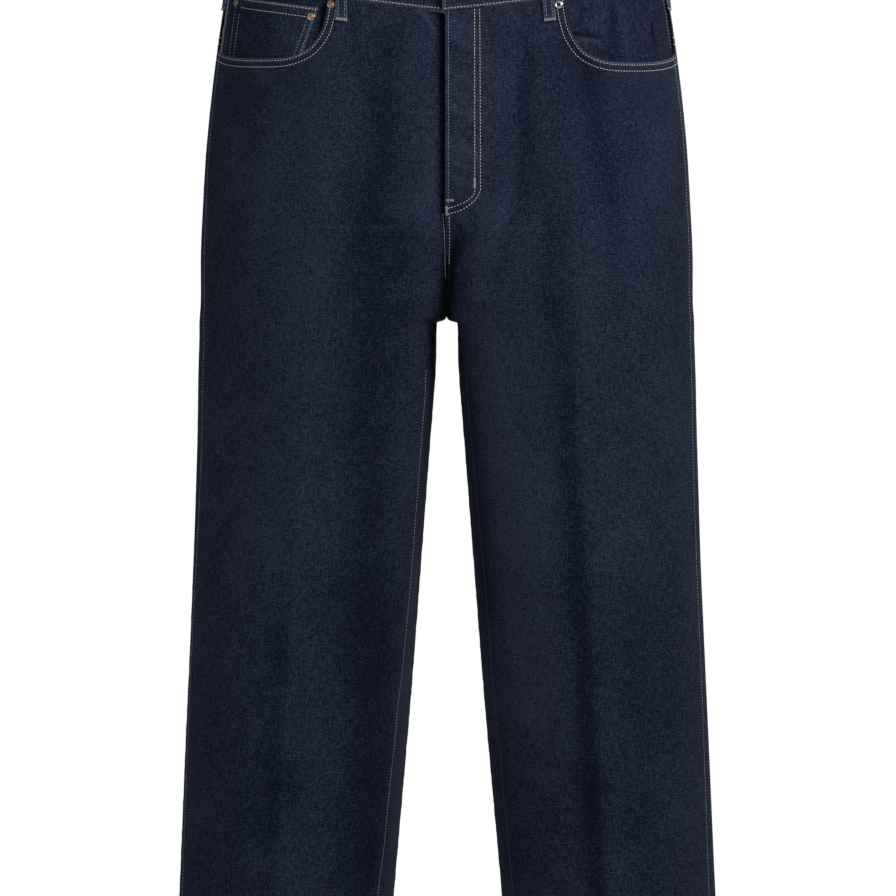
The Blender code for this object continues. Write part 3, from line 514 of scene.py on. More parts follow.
def band_face(side, h, p):
    """The waistband's outer face at the height h above the waist seam, and its unit normals."""
    h, p = np.broadcast_arrays(np.asarray(h, float), np.asarray(p, float))
    seam = section_point(side, np.zeros_like(p), p)
    step = 0.01
    ahead = section_point(side, np.zeros_like(p), np.clip(p + step, 0, 4))
    behind = section_point(side, np.zeros_like(p), np.clip(p - step, 0, 4))
    way = ahead - behind
    outwards = np.stack([way[..., 1], -way[..., 0], 0 * p], axis=-1)
    outwards /= np.linalg.norm(outwards, axis=-1, keepdims=True)
    rise = np.array((0, 0, 1.0)) - BAND_LEAN * outwards
    lap = BAND_LAP * fly_lap(side, p)
    point = seam + rise * h[..., None] + outwards * lap[..., None]
    return point * (side, 1, 1), outwards * (side, 1, 1)


def lengths_along(points, axis):
    """The running length along one way of a grid of points."""
    steps = np.linalg.norm(np.diff(points, axis=axis), axis=-1)
    pad = [(1, 0) if k == axis else (0, 0) for k in range(2)]
    return np.pad(np.cumsum(steps, axis=axis), pad)


def graded(start, end, fine, coarse, reach):
    """Places from start to end, fine steps at both ends that grow to coarse ones over the reach."""
    span = end - start
    place, places = 0.0, [0.0]
    while True:
        near = min(place, span - place)
        step = fine + (coarse - fine) * min(1.0, near / reach)
        place += step
        if place >= span - fine / 2:
            break
        places.append(place)
    places = np.array(places) / places[-1]
    half = (places + 1 - places[::-1]) / 2  # alike at both ends
    return start + span * half


def placed(name, data):
    """A new object in the scene."""
    made = bpy.data.objects.new(name, data)
    bpy.context.scene.collection.objects.link(made)
    return made


Edges = namedtuple("Edges", "top foot start end")  # how worn the four edges of a grid are, from 0 to 1
FREE = Edges(1, 1, 1, 1)
EDGE_ROUND = 0.9 * MM
WEAR_REACH = 1.4 * MM


def shell(name, point, normal, thick, wear=Edges(0, 0, 0, 0), rounding=FREE, looped=False, fade=0.0):
    """A thin wall of cloth under a grid of points, its edges rounded and worn as those numbers say, and its fade
    attribute set: the cloth's fading together with its painted light and shade.
    """
    rows, columns = point.shape[:2]
    across, down = lengths_along(point, 1), lengths_along(point, 0)
    from_edge = Edges(down, down[-1:] - down, across, across[:, -1:] - across)
    sink = np.zeros_like(across)
    for amount, distance in list(zip(rounding, from_edge))[:2 if looped else 4]:
        inside = np.clip(1 - distance / EDGE_ROUND, 0, 1)
        sink = np.maximum(sink, thick * 0.42 * amount * (1 - np.sqrt(1 - inside * inside)))
    outer, inner = point - normal * sink[..., None], point - normal * thick
    worn = sum(w * np.exp(-d / WEAR_REACH) for w, d in zip(wear, from_edge))

    middle = columns // 2
    u = across - across[:, middle:middle + 1]
    v = np.broadcast_to(down[:, middle:middle + 1], u.shape)
    uv = np.stack([u, v], axis=-1).reshape(-1, 2)

    count = rows * columns
    r, c = np.meshgrid(np.arange(rows - 1), np.arange(columns if looped else columns - 1), indexing="ij")
    after = (c + 1) % columns
    ring = np.stack([r * columns + c, (r + 1) * columns + c, (r + 1) * columns + after, r * columns + after], -1)
    ring = ring.reshape(-1, 4)
    if looped:
        turn = np.append(np.arange(columns), 0)
        rims = [turn[::-1], turn + (rows - 1) * columns]
    else:
        top = np.arange(columns)
        end = np.arange(1, rows) * columns + columns - 1
        foot = (rows - 1) * columns + np.arange(columns - 2, -1, -1)
        start = np.arange(rows - 2, -1, -1) * columns
        rims = [np.concatenate([top, end, foot, start])[::-1]]
    edge = np.concatenate([
        np.stack([rim[:-1], rim[1:], rim[1:] + count, rim[:-1] + count], -1) for rim in rims])
    faces = np.concatenate([ring, ring[:, ::-1] + count, edge])
    on_inside = np.concatenate([np.zeros(len(ring)), np.ones(len(ring)), np.zeros(len(edge))])

    mesh = bpy.data.meshes.new(name)
    places = np.concatenate([outer.reshape(-1, 3), inner.reshape(-1, 3)])
    mesh.from_pydata(places.tolist(), [], faces.tolist())
    mesh.polygons.foreach_set("material_index", on_inside.astype(int))
    clean = bmesh.new()
    clean.from_mesh(mesh)
    bmesh.ops.recalc_face_normals(clean, faces=clean.faces)
    clean.to_mesh(mesh)
    clean.free()
    corners = np.zeros(len(mesh.loops), int)
    mesh.loops.foreach_get("vertex_index", corners)
    flat = np.concatenate([uv, uv])[corners]
    if looped:
        whole = across[:, -1].max() * (1 + 1 / columns)
        flat = flat.reshape(-1, 4, 2)
        far = flat[..., :1].max(axis=1, keepdims=True) - flat[..., :1] > whole / 2
        flat[..., :1] += whole * far
    mesh.uv_layers.new(name="UVMap").data.foreach_set("uv", flat.ravel())
    for label, values in (("wear", worn), ("fade", np.broadcast_to(fade, worn.shape))):
        attribute = mesh.attributes.new(label, "FLOAT", "POINT")
        attribute.data.foreach_set("value", np.concatenate([values.ravel()] * 2))
    mesh.shade_smooth()
    mesh.set_sharp_from_angle(angle=math.radians(50))
    return placed(name, mesh)


def dressed(piece, finishes=()):
    """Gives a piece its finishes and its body."""
    for finish in finishes:
        piece.data.materials.append(finish)
    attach(piece, BODY)
    return piece


def cut(node, kind, face, thick, finishes, *edges, **more):
    """Cuts a cloth piece in its node's place."""
    piece = shell("cloth_" + node, *face, thick, *edges, **more)
    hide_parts(node)
    dressed(piece, finishes)


def side_name(side):
    return "left" if side == LEFT else "right"


# ---- The cloth pieces' grids ----

FINE, COARSE, REACH = 0.45 * MM, 4.2 * MM, 16 * MM  # of a grid's steps, at its edges and inside
COMMON_T = 2.6  # the first front row that is level with its neighbours again
LEVELS = np.array([row.level for row in ROWS]) * MM
LAST_ROW = LEVELS[-2] - LEVELS[-1]


def row_at(z):
    """The row number at a height."""
    return np.interp(-z, -LEVELS, np.arange(len(LEVELS)))


def level_of(t):
    """The height of a row number."""
    return np.interp(t, np.arange(len(LEVELS)), LEVELS)


def columns_between(p_from, p_to, coarse=COARSE):
    return graded(p_from, p_to, FINE / SPAN, coarse / SPAN, REACH / SPAN)


def rows_between(t_from, t_to, fine, coarse):
    """Rows spaced by height, fine at both ends."""
    return row_at(-graded(-level_of(t_from), -level_of(t_to), fine, coarse, REACH))


def joined(*stretches):
    """Stretches of places one after another, with each shared end kept once."""
    return np.concatenate([stretches[0]] + [s[1:] for s in stretches[1:]])


def mouth_places(side):
    """Fine places along a pocket mouth: p and the drop below the waist seam."""
    counts = (6, 6, 5, 5, 5, 5, 5)
    stretches = [np.linspace(i, i + 1, n + 1) for i, n in enumerate(counts)]
    last = len(counts)
    stretches.append(last + 1 - graded(0, 1, 0.03, 0.25, 0.5)[::-1])
    k = joined(*stretches)
    return along(MOUTH_TABLE[:, 0], k), along(MOUTH_TABLE[:, 1], k) * MOUTH_DEPTH[side] * MM


def leg_grid(columns, top, steps):
    """Rows from an uneven top edge to the hem, level below COMMON_T, where fronts and backs share them."""
    upper = [top + (COMMON_T - top) * s for s in steps[:-1]]
    lower = rows_between(COMMON_T, HEM_T, fine=1.2 * MM, coarse=3.5 * MM)
    t = np.array(upper + [np.full(len(columns), t) for t in lower])
    return t, np.broadcast_to(columns, t.shape)


def front_grid(side):
    mouth_p, mouth_drop = mouth_places(side)
    inner = joined(columns_between(0, 1, coarse=4.4 * MM), np.array([1, mouth_p[0]]))
    columns = joined(inner, mouth_p)
    drop = np.concatenate([np.zeros(len(inner) - 1), mouth_drop])
    top = row_of_drop(side, columns, drop + SEAM_GAP)
    steps = graded(0, 1, 0.006, 0.045, 0.25)
    return leg_grid(columns, top, steps)


def yoke_drop(p):
    return YOKE_SIDE_DROP + (YOKE_BACK_DROP - YOKE_SIDE_DROP) * (p - SEAM_P) / (4 - SEAM_P)


BACK_COLUMNS = joined(columns_between(SEAM_P, 3), columns_between(3, 4))
ALL_COLUMNS = joined(columns_between(0, 1), columns_between(1, SEAM_P), BACK_COLUMNS)


def yoke_grid(side):
    columns = BACK_COLUMNS
    foot = row_of_drop(side, columns, yoke_drop(columns))
    top = row_of_drop(side, columns, np.full(len(columns), SEAM_GAP))
    t = np.array([top + (foot - top) * s for s in graded(0, 1, 0.008, 0.065, 0.3)])
    return t, np.broadcast_to(columns, t.shape)


def back_grid(side):
    top = row_of_drop(side, BACK_COLUMNS, yoke_drop(BACK_COLUMNS))
    return leg_grid(BACK_COLUMNS, top, graded(0, 1, 0.01, 0.09, 0.3))


def back_pocket_grid():
    """A plain patch with a pointed foot."""
    first, last = BACK_POCKET_P
    columns = joined(columns_between(first, (first + last) / 2), columns_between((first + last) / 2, last))
    inwards = 1 - np.abs(columns - (first + last) / 2) / ((last - first) / 2)
    foot = BACK_POCKET_T[1] + BACK_POCKET_POINT * np.clip(inwards * 1.15, 0, 1) ** 0.9
    top = BACK_POCKET_T[0]
    t = np.array([top + (foot - top) * s for s in graded(0, 1, 0.004, 0.04, 0.15)])
    return t, np.broadcast_to(columns, t.shape)


def facing_grid(side):
    columns = columns_between(LOOP_P[side] + LOOP_HALF_P, SEAM_P)
    drops = SEAM_GAP + graded(0, FACING_DROP - SEAM_GAP, FINE, 3 * MM, REACH)
    t = row_of_drop(side, *np.meshgrid(columns, drops))
    return t, np.broadcast_to(columns, t.shape)


def coin_grid():
    steps = graded(0, 1, 0.006, 0.04, 0.2)[:, None]
    share = graded(0, 1, 0.005, 0.035, 0.2)[None]
    inner_p = COIN_INNER_P + (COIN_INNER_FOOT_P - COIN_INNER_P) * steps
    p = inner_p + (COIN_OUTER_P - inner_p) * share
    top = COIN_INNER_DROP + (COIN_OUTER_DROP - COIN_INNER_DROP) * share
    return row_of_drop(RIGHT, p, top + (COIN_FOOT - top) * steps), p


def hem_grid():
    rows = graded(HEM_T - HEM_HEIGHT / LAST_ROW, HEM_T, 0.004, 0.02, 0.04)
    return np.meshgrid(rows, ALL_COLUMNS[:-1], indexing="ij")


def laid(side, grid, out=0.0):
    """The points and normals of a grid on the cloth, moved out."""
    point, normal = cloth_face(side, *grid)
    return point + normal * np.asarray(out)[..., None], normal


def mouth_end(side):
    """The row of the side seam where a pocket mouth ends."""
    return row_of_drop(side, SEAM_P, POCKET_MOUTH[-1].drop * MOUTH_DEPTH[side] * MM)


def grid_normals(point, outwards):
    """Normals of a free grid of points, on the side that outwards points to."""
    normal = np.cross(np.gradient(point, axis=0), np.gradient(point, axis=1))
    normal /= np.linalg.norm(normal, axis=-1, keepdims=True)
    turned = np.sign(np.sum(normal * outwards, axis=-1, keepdims=True))
    return normal * turned


def fly_shield_grid():
    heights = joined(graded(0.06, COMMON_T, 0.012, 0.12, 0.4), graded(COMMON_T, 3.8, 0.012, 0.12, 0.4))
    stretches = []
    for side, places in ((RIGHT, columns_between(0, 0.12)[::-1]), (LEFT, columns_between(0.12, 0.42))):
        depth = WALL + LAYER_GAP + (0 if side == RIGHT else LAP[LEFT] - LAP[RIGHT])
        stretches.append(laid(side, np.meshgrid(heights, places, indexing="ij"), -depth))
    return tuple(np.concatenate(parts, axis=1) for parts in zip(*stretches))


# The edge of the cloth that is turned up inside the waistband: from and to, above the seam, and its wall.
TURNED_UP, TURNED_UP_WALL = (-1.6 * MM, 5 * MM), 0.4 * MM


def band_grid():
    """The waistband from the right front's hidden end, round the back, to the left front's end over it."""
    heights = graded(0, BAND_HEIGHT, FINE, 3 * MM, 10 * MM)[:, None]
    tail_p = np.linspace(0.32, 0.16, 6)[None]
    right = np.concatenate([[0, 0.06], ALL_COLUMNS[ALL_COLUMNS > 0.08]])[None]
    left = ALL_COLUMNS[::-1][1:][None]
    deeper = BAND_LAP * (LAP[LEFT] - LAP[RIGHT])
    stretches = []
    for side, places, out in ((LEFT, tail_p, -deeper), (RIGHT, right, 0.0), (LEFT, left, 0.0)):
        point, normal = band_face(side, heights, places)
        swell = 0.25 * MM * uneven_wave(places * SPAN, PUCKER_LENGTHS, 53 + side)
        lift = BAND_PROUD + out + swell * np.sin(math.pi * heights / BAND_HEIGHT)
        stretches.append((point + normal * lift[..., None], normal))
    ends = np.linspace(0, 1, 6)[1:, None] * np.array((-BAND_END, 0, 0))
    last, facing_way = (part[:, -1:] for part in stretches[-1])
    stretches.append((last + ends, np.repeat(facing_way, len(ends), axis=1)))
    return tuple(np.concatenate(parts, axis=1) for parts in zip(*stretches))


LOOP_ROWS = (
    (BAND_HEIGHT - 0.5 * MM, LAYER_GAP),
    (BAND_HEIGHT * 0.80, LAYER_GAP + LOOP_BULGE * 0.8),
    (BAND_HEIGHT * 0.45, LAYER_GAP + LOOP_BULGE),
    (BAND_HEIGHT * 0.10, LAYER_GAP + LOOP_BULGE * 0.6),
    (-LOOP_BELOW_SEAM * 0.25, LAYER_GAP + LOOP_BULGE * 0.5),
    (-LOOP_BELOW_SEAM * 0.60, LAYER_GAP),
    (-LOOP_BELOW_SEAM, LAYER_GAP),
)
LoopPlace = namedtuple("LoopPlace", "node side middle half tilt")
LOOPS = (
    LoopPlace("belt_loop_front_right", RIGHT, LOOP_P[RIGHT], LOOP_HALF_P, LOOP_TILT[RIGHT]),
    LoopPlace("belt_loop_front_left", LEFT, LOOP_P[LEFT], LOOP_HALF_P, LOOP_TILT[LEFT]),
    LoopPlace("belt_loop_side_right", RIGHT, SEAM_P, SIDE_LOOP_HALF_P, 0.0),
    LoopPlace("belt_loop_side_left", LEFT, SEAM_P, SIDE_LOOP_HALF_P, 0.0),
    LoopPlace("belt_loop_back", RIGHT, 4.0, 0.05, 0.0),
)


def loop_lines(loop, columns):
    """The seven rows of a loop's outer face, over the columns, which run from -1 to 1 across it."""
    lines = []
    for height, out in LOOP_ROWS:
        p = loop.middle + columns * loop.half - loop.tilt * height / SPAN
        row = []
        for q in p:
            side, q = (loop.side, q) if q <= 4 else (-loop.side, 8 - q)
            at = np.array([q])
            if height > 0:
                point, normal = band_face(side, height, at)
                lift = BAND_PROUD + out + LOOP_WALL
            else:
                point, normal = cloth_face(side, row_of_drop(side, at, -height), at)
                lift = out + LOOP_WALL
            row.append((point[0] + normal[0] * lift, normal[0]))
        lines.append(row)
    lines = np.array(lines)
    return lines[:, :, 0], lines[:, :, 1]


def refined(rows, s):
    """A grid's columns as smooth curves down it, at the places s of its rows."""
    return np.stack([np.stack([along(column[:, k], s) for k in range(3)], -1) for column in rows.swapaxes(0, 1)], 1)


def loop_grid(loop):
    point, normal = loop_lines(loop, graded(-1, 1, 0.06, 0.25, 0.5))
    fine = refined(point, graded(0, len(LOOP_ROWS) - 1, 0.05, 0.17, 0.5))
    return fine, grid_normals(fine, normal.mean(axis=(0, 1)))


# ---- Finishes ----


class Wire:
    """A number of a node tree, which adds a Math node where it is used in an expression."""

    def __init__(self, nodes, socket):
        self.nodes, self.socket = nodes, socket

    def __add__(self, other):
        return self.nodes.math("ADD", self, other)

    def __sub__(self, other):
        return self.nodes.math("SUBTRACT", self, other)

    def __mul__(self, other):
        return self.nodes.math("MULTIPLY", self, other)

    __radd__, __rmul__ = __add__, __mul__

    def sine(self):
        return self.nodes.math("SINE", self)

    def clamped(self):
        return self.nodes.math("MINIMUM", self.nodes.math("MAXIMUM", self, 0.0), 1.0)


class Nodes:
    """A node tree under construction."""

    def __init__(self, tree):
        self.tree = tree

    def join(self, value, slot):
        """Gives an input its value, or a link from a socket or a Wire."""
        value = getattr(value, "socket", value)
        if isinstance(value, bpy.types.NodeSocket):
            self.tree.links.new(value, slot)
        else:
            slot.default_value = value

    def add(self, kind, settings=None, values=(), **sockets):
        """A node of that kind: its settings first, then its inputs in their order and by name."""
        node = self.tree.nodes.new(kind)
        for name, value in (settings or {}).items():
            setattr(node, name, value)
        for value, slot in zip(values, node.inputs):
            self.join(value, slot)
        for name, value in sockets.items():
            self.join(value, node.inputs[name.replace("_", " ")])
        return node

    def math(self, operation, *values):
        return Wire(self, self.add("ShaderNodeMath", {"operation": operation}, values).outputs[0])


class Finish(Nodes):
    """A material under construction."""

    def __init__(self, name, roughness, **constants):
        self.material = bpy.data.materials.new(name)
        self.material.use_nodes = True
        super().__init__(self.material.node_tree)
        self.shader = self.tree.nodes["Principled BSDF"].inputs
        for socket, value in {"Roughness": roughness, **constants}.items():
            self.shader[socket.replace("_", " ")].default_value = value

    def attribute(self, name):
        return Wire(self, self.add("ShaderNodeAttribute", {"attribute_name": name}).outputs[2])

    def noise(self, place, lengths, detail, roughness=0.5):
        """Noise over a place, with its own wave length along each way."""
        scale = tuple(1 / length for length in lengths)
        stretched = self.add("ShaderNodeMapping", {"vector_type": "POINT"}, Vector=place, Scale=scale).outputs[0]
        made = self.add("ShaderNodeTexNoise", Vector=stretched, Scale=1.0, Detail=detail, Roughness=roughness)
        return Wire(self, made.outputs[0])

    def blend(self, share, first, second):
        node = self.add("ShaderNodeMix", {"data_type": "RGBA"})
        for value, slot in ((share, node.inputs[0]), (first, node.inputs[6]), (second, node.inputs[7])):
            self.join(value, slot)
        return node.outputs[2]

    def paint(self, colour):
        self.join(colour, self.shader["Base Color"])

    def emboss(self, height, distance):
        bump = self.add("ShaderNodeBump", Height=height, Distance=distance, Strength=1.0)
        self.join(bump.outputs[0], self.shader["Normal"])


def colour(values):
    return (*values, 1.0)


PAINTED_SHADOW_TONE = (0.0040, 0.0041, 0.0046)  # painted shadow: the colour of cloth in a hollow, out of the light
TWILL_DEPTH = 0.22 * MM


def denim(name, dark, light, worn, look, contrast=1.0):
    """Twill: warp and weft threads of uneven depth, a slow wash, paler worn edges, and the fade attribute's fading
    with its painted light and shade, darkest as a painted shadow.
    """
    made = Finish(name, look.roughness, Specular_IOR_Level=0.03, Sheen_Weight=look.sheen, Sheen_Roughness=0.45)
    uv = made.add("ShaderNodeUVMap", {"uv_map": "UVMap"}).outputs[0]
    thread = look.thread_pitch
    warp = made.noise(uv, (1.5 * thread, 12 * thread, 1), 1.0)
    weft = made.noise(uv, (8 * thread, 1.6 * thread, 1), 1.0)
    fleck = made.noise(uv, (1.6 * thread, 1.9 * thread, 1), 1.0)
    slub = made.noise(uv, (5 * thread, 6 * thread, 1), 2.0)
    mottle = made.noise(uv, (24 * MM, 34 * MM, 1), 4.0, 0.6)
    wash = made.noise(uv, (90 * MM, 160 * MM, 1), 3.0)
    across, down = (Wire(made, way) for way in made.add("ShaderNodeSeparateXYZ", Vector=uv).outputs[:2])
    rib = ((across * (TAU / (1.3 * thread)) + down * (TAU / (2.6 * thread))).sine()) * 0.5 + 0.5
    grain = (warp - 0.5) * 1.5 + (weft - 0.5) * 1.3 + (fleck - 0.5) * 3.2 + (slub - 0.5) * 1.2 + (rib - 0.5) * 0.2
    # The fade attribute holds the cloth's fading together with its painted light and shade, and lightens or darkens
    # the tone.
    fade, wear = made.attribute("fade"), made.attribute("wear")
    slow = (mottle - 0.5) * 0.5 + (wash - 0.5) * 0.6 + fade * 0.22
    tone = (0.37 + grain * (0.62 * contrast) + slow).clamped()
    rubbed = (wear * (0.42 + (fleck - 0.45) * 3.0)).clamped()
    # Painted shadow: where the fade attribute falls below -1, the colour turns towards the near-black painted shadow
    # tone.
    hidden = ((fade + 1.0) * -0.6).clamped()
    face = made.blend(rubbed, made.blend(tone, colour(dark), colour(light)), colour(worn))
    made.paint(made.blend(hidden, face, colour(PAINTED_SHADOW_TONE)))
    made.emboss(warp * 0.5 + weft * 0.35 + fleck * 0.5 + rib * 0.5, TWILL_DEPTH)
    return made.material


def cloth_finishes():
    """The face and the paler reverse of the same cloth, made once."""
    look = bpy.context.scene.jeans_denim
    names = ("denim_face", "denim_reverse")
    if names[0] not in bpy.data.materials:
        denim(names[0], look.indigo_dark, look.indigo_light, look.indigo_worn, look)
        denim(names[1], look.reverse_dark, look.reverse_light, look.indigo_worn, look, 1.2)
    return [bpy.data.materials[name] for name in names]


def face_finishes():
    """The face on both sides, for cloth that is folded."""
    return cloth_finishes()[:1] * 2


# ---- What a user may change ----


def tint(name, description, values):
    return FloatVectorProperty(
        name=name, description=description, subtype="COLOR", size=3, min=0, max=1, default=values)


class DenimLook(bpy.types.PropertyGroup):
    """The colours and the weave of the denim."""

    indigo_dark: tint("Indigo, dark", "The deepest warp threads", (0.0038, 0.0066, 0.0190))
    indigo_light: tint("Indigo, light", "The palest warp threads", (0.031, 0.0395, 0.0680))
    indigo_worn: tint("Indigo, worn", "Edges where the dye has rubbed off", (0.115, 0.145, 0.205))
    reverse_dark: tint("Reverse, dark", "Indigo that shows through on the inside", (0.040, 0.052, 0.080))
    reverse_light: tint("Reverse, light", "The undyed weft on the inside", (0.17, 0.19, 0.22))
    thread_pitch: FloatProperty(
        name="Thread pitch", description="From one warp thread to the next", unit="LENGTH",
        default=0.00075, min=0.0002)
    roughness: FloatProperty(
        name="Roughness", description="Of the cloth", subtype="FACTOR", default=0.86, min=0, max=1)
    sheen: FloatProperty(
        name="Sheen", description="Of the cloth's fine nap", subtype="FACTOR", default=0.008, min=0, max=1)


# ---- The cloth ----

# What each piece was cut to, as it shows, in metres and square metres: width, length, area.
CUTS = {
    "front": (0.342, 1.135, 0.294),
    "yoke": (0.287, 0.078, 0.0160),
    "back": (0.381, 1.109, 0.344),
    "back_pocket": (0.138, 0.125, 0.0147),
    "hem": (0.565, 0.0132, 0.0074),
    "facing": (0.150, 0.080, 0.0114),
    "coin_pocket": (0.097, 0.068, 0.0059),
    "fly_shield": (0.063, 0.157, 0.0092),
    "waistband": (1.03, 0.0403, 0.0413),
    "belt_loop": (0.0115, 0.0597, 0.00068),
    "belt_loop_back": (0.0133, 0.0597, 0.00078),
}


SEAM_ROUND = 0.4  # of a free edge's rounding, where two pieces are sewn together
UNDER_CLOTH, OVER_CLOTH = -WALL - LAYER_GAP, LAYER_GAP + WALL  # the next layer's face, inside and outside


# Where the fly's fading ends, down and across, and the patches in it.
FLY_FADED, FLY_FADED_WIDTH = (0.185, 0.205), (24 * MM, 30 * MM)
PATCHES_DOWN, PATCHES_ACROSS = (33 * MM, 15 * MM, 61 * MM), (13 * MM, 27 * MM)
# The painted shadow beside the fly's edge, on the right front: how dark, how far in millimetres at its two ends, and
# where it is over.
FLY_SHADE, FLY_SHADE_REACH, FLY_SHADE_OVER = -2.0, (9.5, 4.5), (0.22, 0.25)
# Painted shade just under the pocket mouths' edge on the fronts: how dark, and how far down it fades.
MOUTH_SHADE, MOUTH_SHADE_REACH = -0.30, (6 * MM, 10 * MM)
PRESS_WORN = 0.30
# Painted shade on the back's and the yokes' edge in the side seam: how dark, and how far in.
SIDE_SHADE, SIDE_SHADE_REACH = -2.5, 2.5 * MM


def fading_and_painted_shade(side, t, p):
    """The fade attribute of a front or back: paler from wear in patches on the fly and along the pressed creases;
    painted shadow beside the fly's edge and under the pocket mouths; and the courses' painted light and shade.
    """
    z = level_of(t)
    above = 1 - smoothstep(*FLY_FADED, -z)
    beside = p * FRONT_SPAN * MM
    if side == LEFT:
        patchy = 0.35 + 1.1 * uneven_wave(z + 0.5 * beside, PATCHES_DOWN, 83) * (
            1 + 0.6 * uneven_wave(beside - 0.2 * z, PATCHES_ACROSS, 85))
        fly = patchy * above * (1 - smoothstep(*FLY_FADED_WIDTH, beside))
    else:
        # Painted shadow beside the fly's edge on the right front.
        reach = np.interp(-z, FLY_HOLLOW_ENDS, FLY_SHADE_REACH) * MM
        fly = FLY_SHADE * (1 - smoothstep(0.1 * reach, 1.6 * reach, beside)) * (1 - smoothstep(*FLY_SHADE_OVER, -z))
    ridge = PRESS_WORN * pressed(side, p, z) / PRESS_HEIGHT
    # Painted shade just under the pocket mouth's edge.
    below_mouth = (t - t[:1]) * 40 * MM
    mouth = MOUTH_SHADE * (1 - smoothstep(*MOUTH_SHADE_REACH, below_mouth)) * smoothstep(1.0, 1.04, p) * (p < SEAM_P)
    return fly + ridge + mouth + courses(side, p, z)[1]


def side_seam_painted_shade(p):
    """Painted shade on the back's edge in the side seam, next to the pocket facing."""
    return SIDE_SHADE * np.exp(-(p - SEAM_P) * SPAN / SIDE_SHADE_REACH)


FRONT_TOP_WORN_FROM = 0.985  # the pocket mouth is worn, the waist seam is not
FRONT_WEAR = {LEFT: Edges(1.0, 0.8, 0.25, 0.15), RIGHT: Edges(1.0, 0.8, 0.0, 0.15)}
BACK_WEAR = Edges(0.2, 0.8, 0.15, 0.2)


class JEANS_OT_legs(bpy.types.Operator):
    """Cuts the two fronts and the two backs, from the waist and the yokes to the hems"""

    bl_idname = "jeans.legs"
    bl_label = "Legs"

    def execute(self, context):
        for side in (RIGHT, LEFT):
            for part, (t, p), wear in (
                ("front", front_grid(side), FRONT_WEAR[side]), ("back", back_grid(side), BACK_WEAR)
            ):
                wear = wear._replace(top=wear.top * (p[0] > FRONT_TOP_WORN_FROM))
                inseam = SEAM_ROUND * smoothstep(FORK_T, FORK_T + 1, t)
                # fade: the cloth's fading and its painted light and shade, with painted shade on the back's edge at
                # the side seam.
                fade = fading_and_painted_shade(side, t, p)
                if part == "front":
                    fly_foot = row_at(FLY_FOOT_Z)
                    fly_edge = 1 - smoothstep(fly_foot, fly_foot + 0.2, t)
                    rounding = Edges(1, 1, np.maximum(inseam, fly_edge), SEAM_ROUND)
                else:
                    rounding = Edges(SEAM_ROUND, 1, SEAM_ROUND, inseam)
                    end = mouth_end(side)
                    fade = fade + side_seam_painted_shade(p) * (1 - smoothstep(end - 0.1, end + 0.1, t))
                cut(part + "_" + side_name(side), part, laid(side, (t, p)), WALL, cloth_finishes(), wear, rounding,
                    fade=fade)
        return {"FINISHED"}


class JEANS_OT_yokes(bpy.types.Operator):
    """Cuts the two yokes between the waistband and the backs"""

    bl_idname = "jeans.yokes"
    bl_label = "Yokes"

    def execute(self, context):
        wear, rounding = Edges(0, 0.2, 0, 0.2), Edges(1, SEAM_ROUND, SEAM_ROUND, SEAM_ROUND)
        for side in (RIGHT, LEFT):
            t, p = yoke_grid(side)
            cut("yoke_" + side_name(side), "yoke", laid(side, (t, p)), WALL, cloth_finishes(), wear, rounding,
                fade=side_seam_painted_shade(p))
        return {"FINISHED"}


# Small folds of the pocket facings: from and to, as p and millimetres below the waist seam, half-width and height.
# Their height also sets the facing's painted shade.
Crumple = namedtuple("Crumple", "side p_from drop_from p_to drop_to width height")
CRUMPLES = (
    Crumple(LEFT, 1.05, 30, 1.20, 35, 1.7, -1.5),
    Crumple(LEFT, 1.06, 34, 1.22, 40, 2.4, 1.0),
    Crumple(LEFT, 1.07, 22, 1.13, 10, 2.0, -0.8),
    Crumple(LEFT, 1.15, 28, 1.24, 12, 2.6, 0.7),
    Crumple(LEFT, 1.29, 8, 1.28, 46, 2.6, -1.0),
    Crumple(LEFT, 1.36, 10, 1.37, 50, 3.4, 0.8),
    Crumple(LEFT, 1.60, 26, 1.585, 50, 1.8, -1.2),
    Crumple(LEFT, 1.20, 46, 1.30, 54, 2.2, -0.7),
    Crumple(RIGHT, 1.03, 4, 1.05, 46, 3.4, -1.3),
    Crumple(RIGHT, 1.735, 8, 1.73, 54, 1.3, -0.8),
    Crumple(RIGHT, 1.80, 2, 1.80, 58, 6.0, 0.8),
)
# Painted shade of the facings: how much paler a crumple paints them for each metre of its height, darker where it is
# a hollow.
CRUMPLE_SHADE = 1.5 / MM


def crumples(side, t, p):
    """The facing's unevenness and its painted shade over its grid of rows and columns: paler on its ridges, darker in
    its hollows, and darker all over as painted shade under the front.
    """
    z = level_of(t)
    drop = z[:1] - z
    height = np.zeros_like(drop)
    for fold in CRUMPLES:
        if fold.side != side:
            continue
        start = np.array((fold.p_from * SPAN, fold.drop_from * MM))
        way = np.array((fold.p_to * SPAN, fold.drop_to * MM)) - start
        length = np.linalg.norm(way)
        across, down = p * SPAN - start[0], drop - start[1]
        along_it = (across * way[0] + down * way[1]) / length
        beside = (across * way[1] - down * way[0]) / length
        ends = smoothstep(-2 * MM, 3 * MM, along_it) * (1 - smoothstep(length - 3 * MM, length + 2 * MM, along_it))
        height = height + fold.height * MM * np.exp(-((beside / (fold.width * MM)) ** 2)) * ends
    # Painted shade: the facing, which lies under the front, is darker all over.
    return height, height * CRUMPLE_SHADE - 0.38


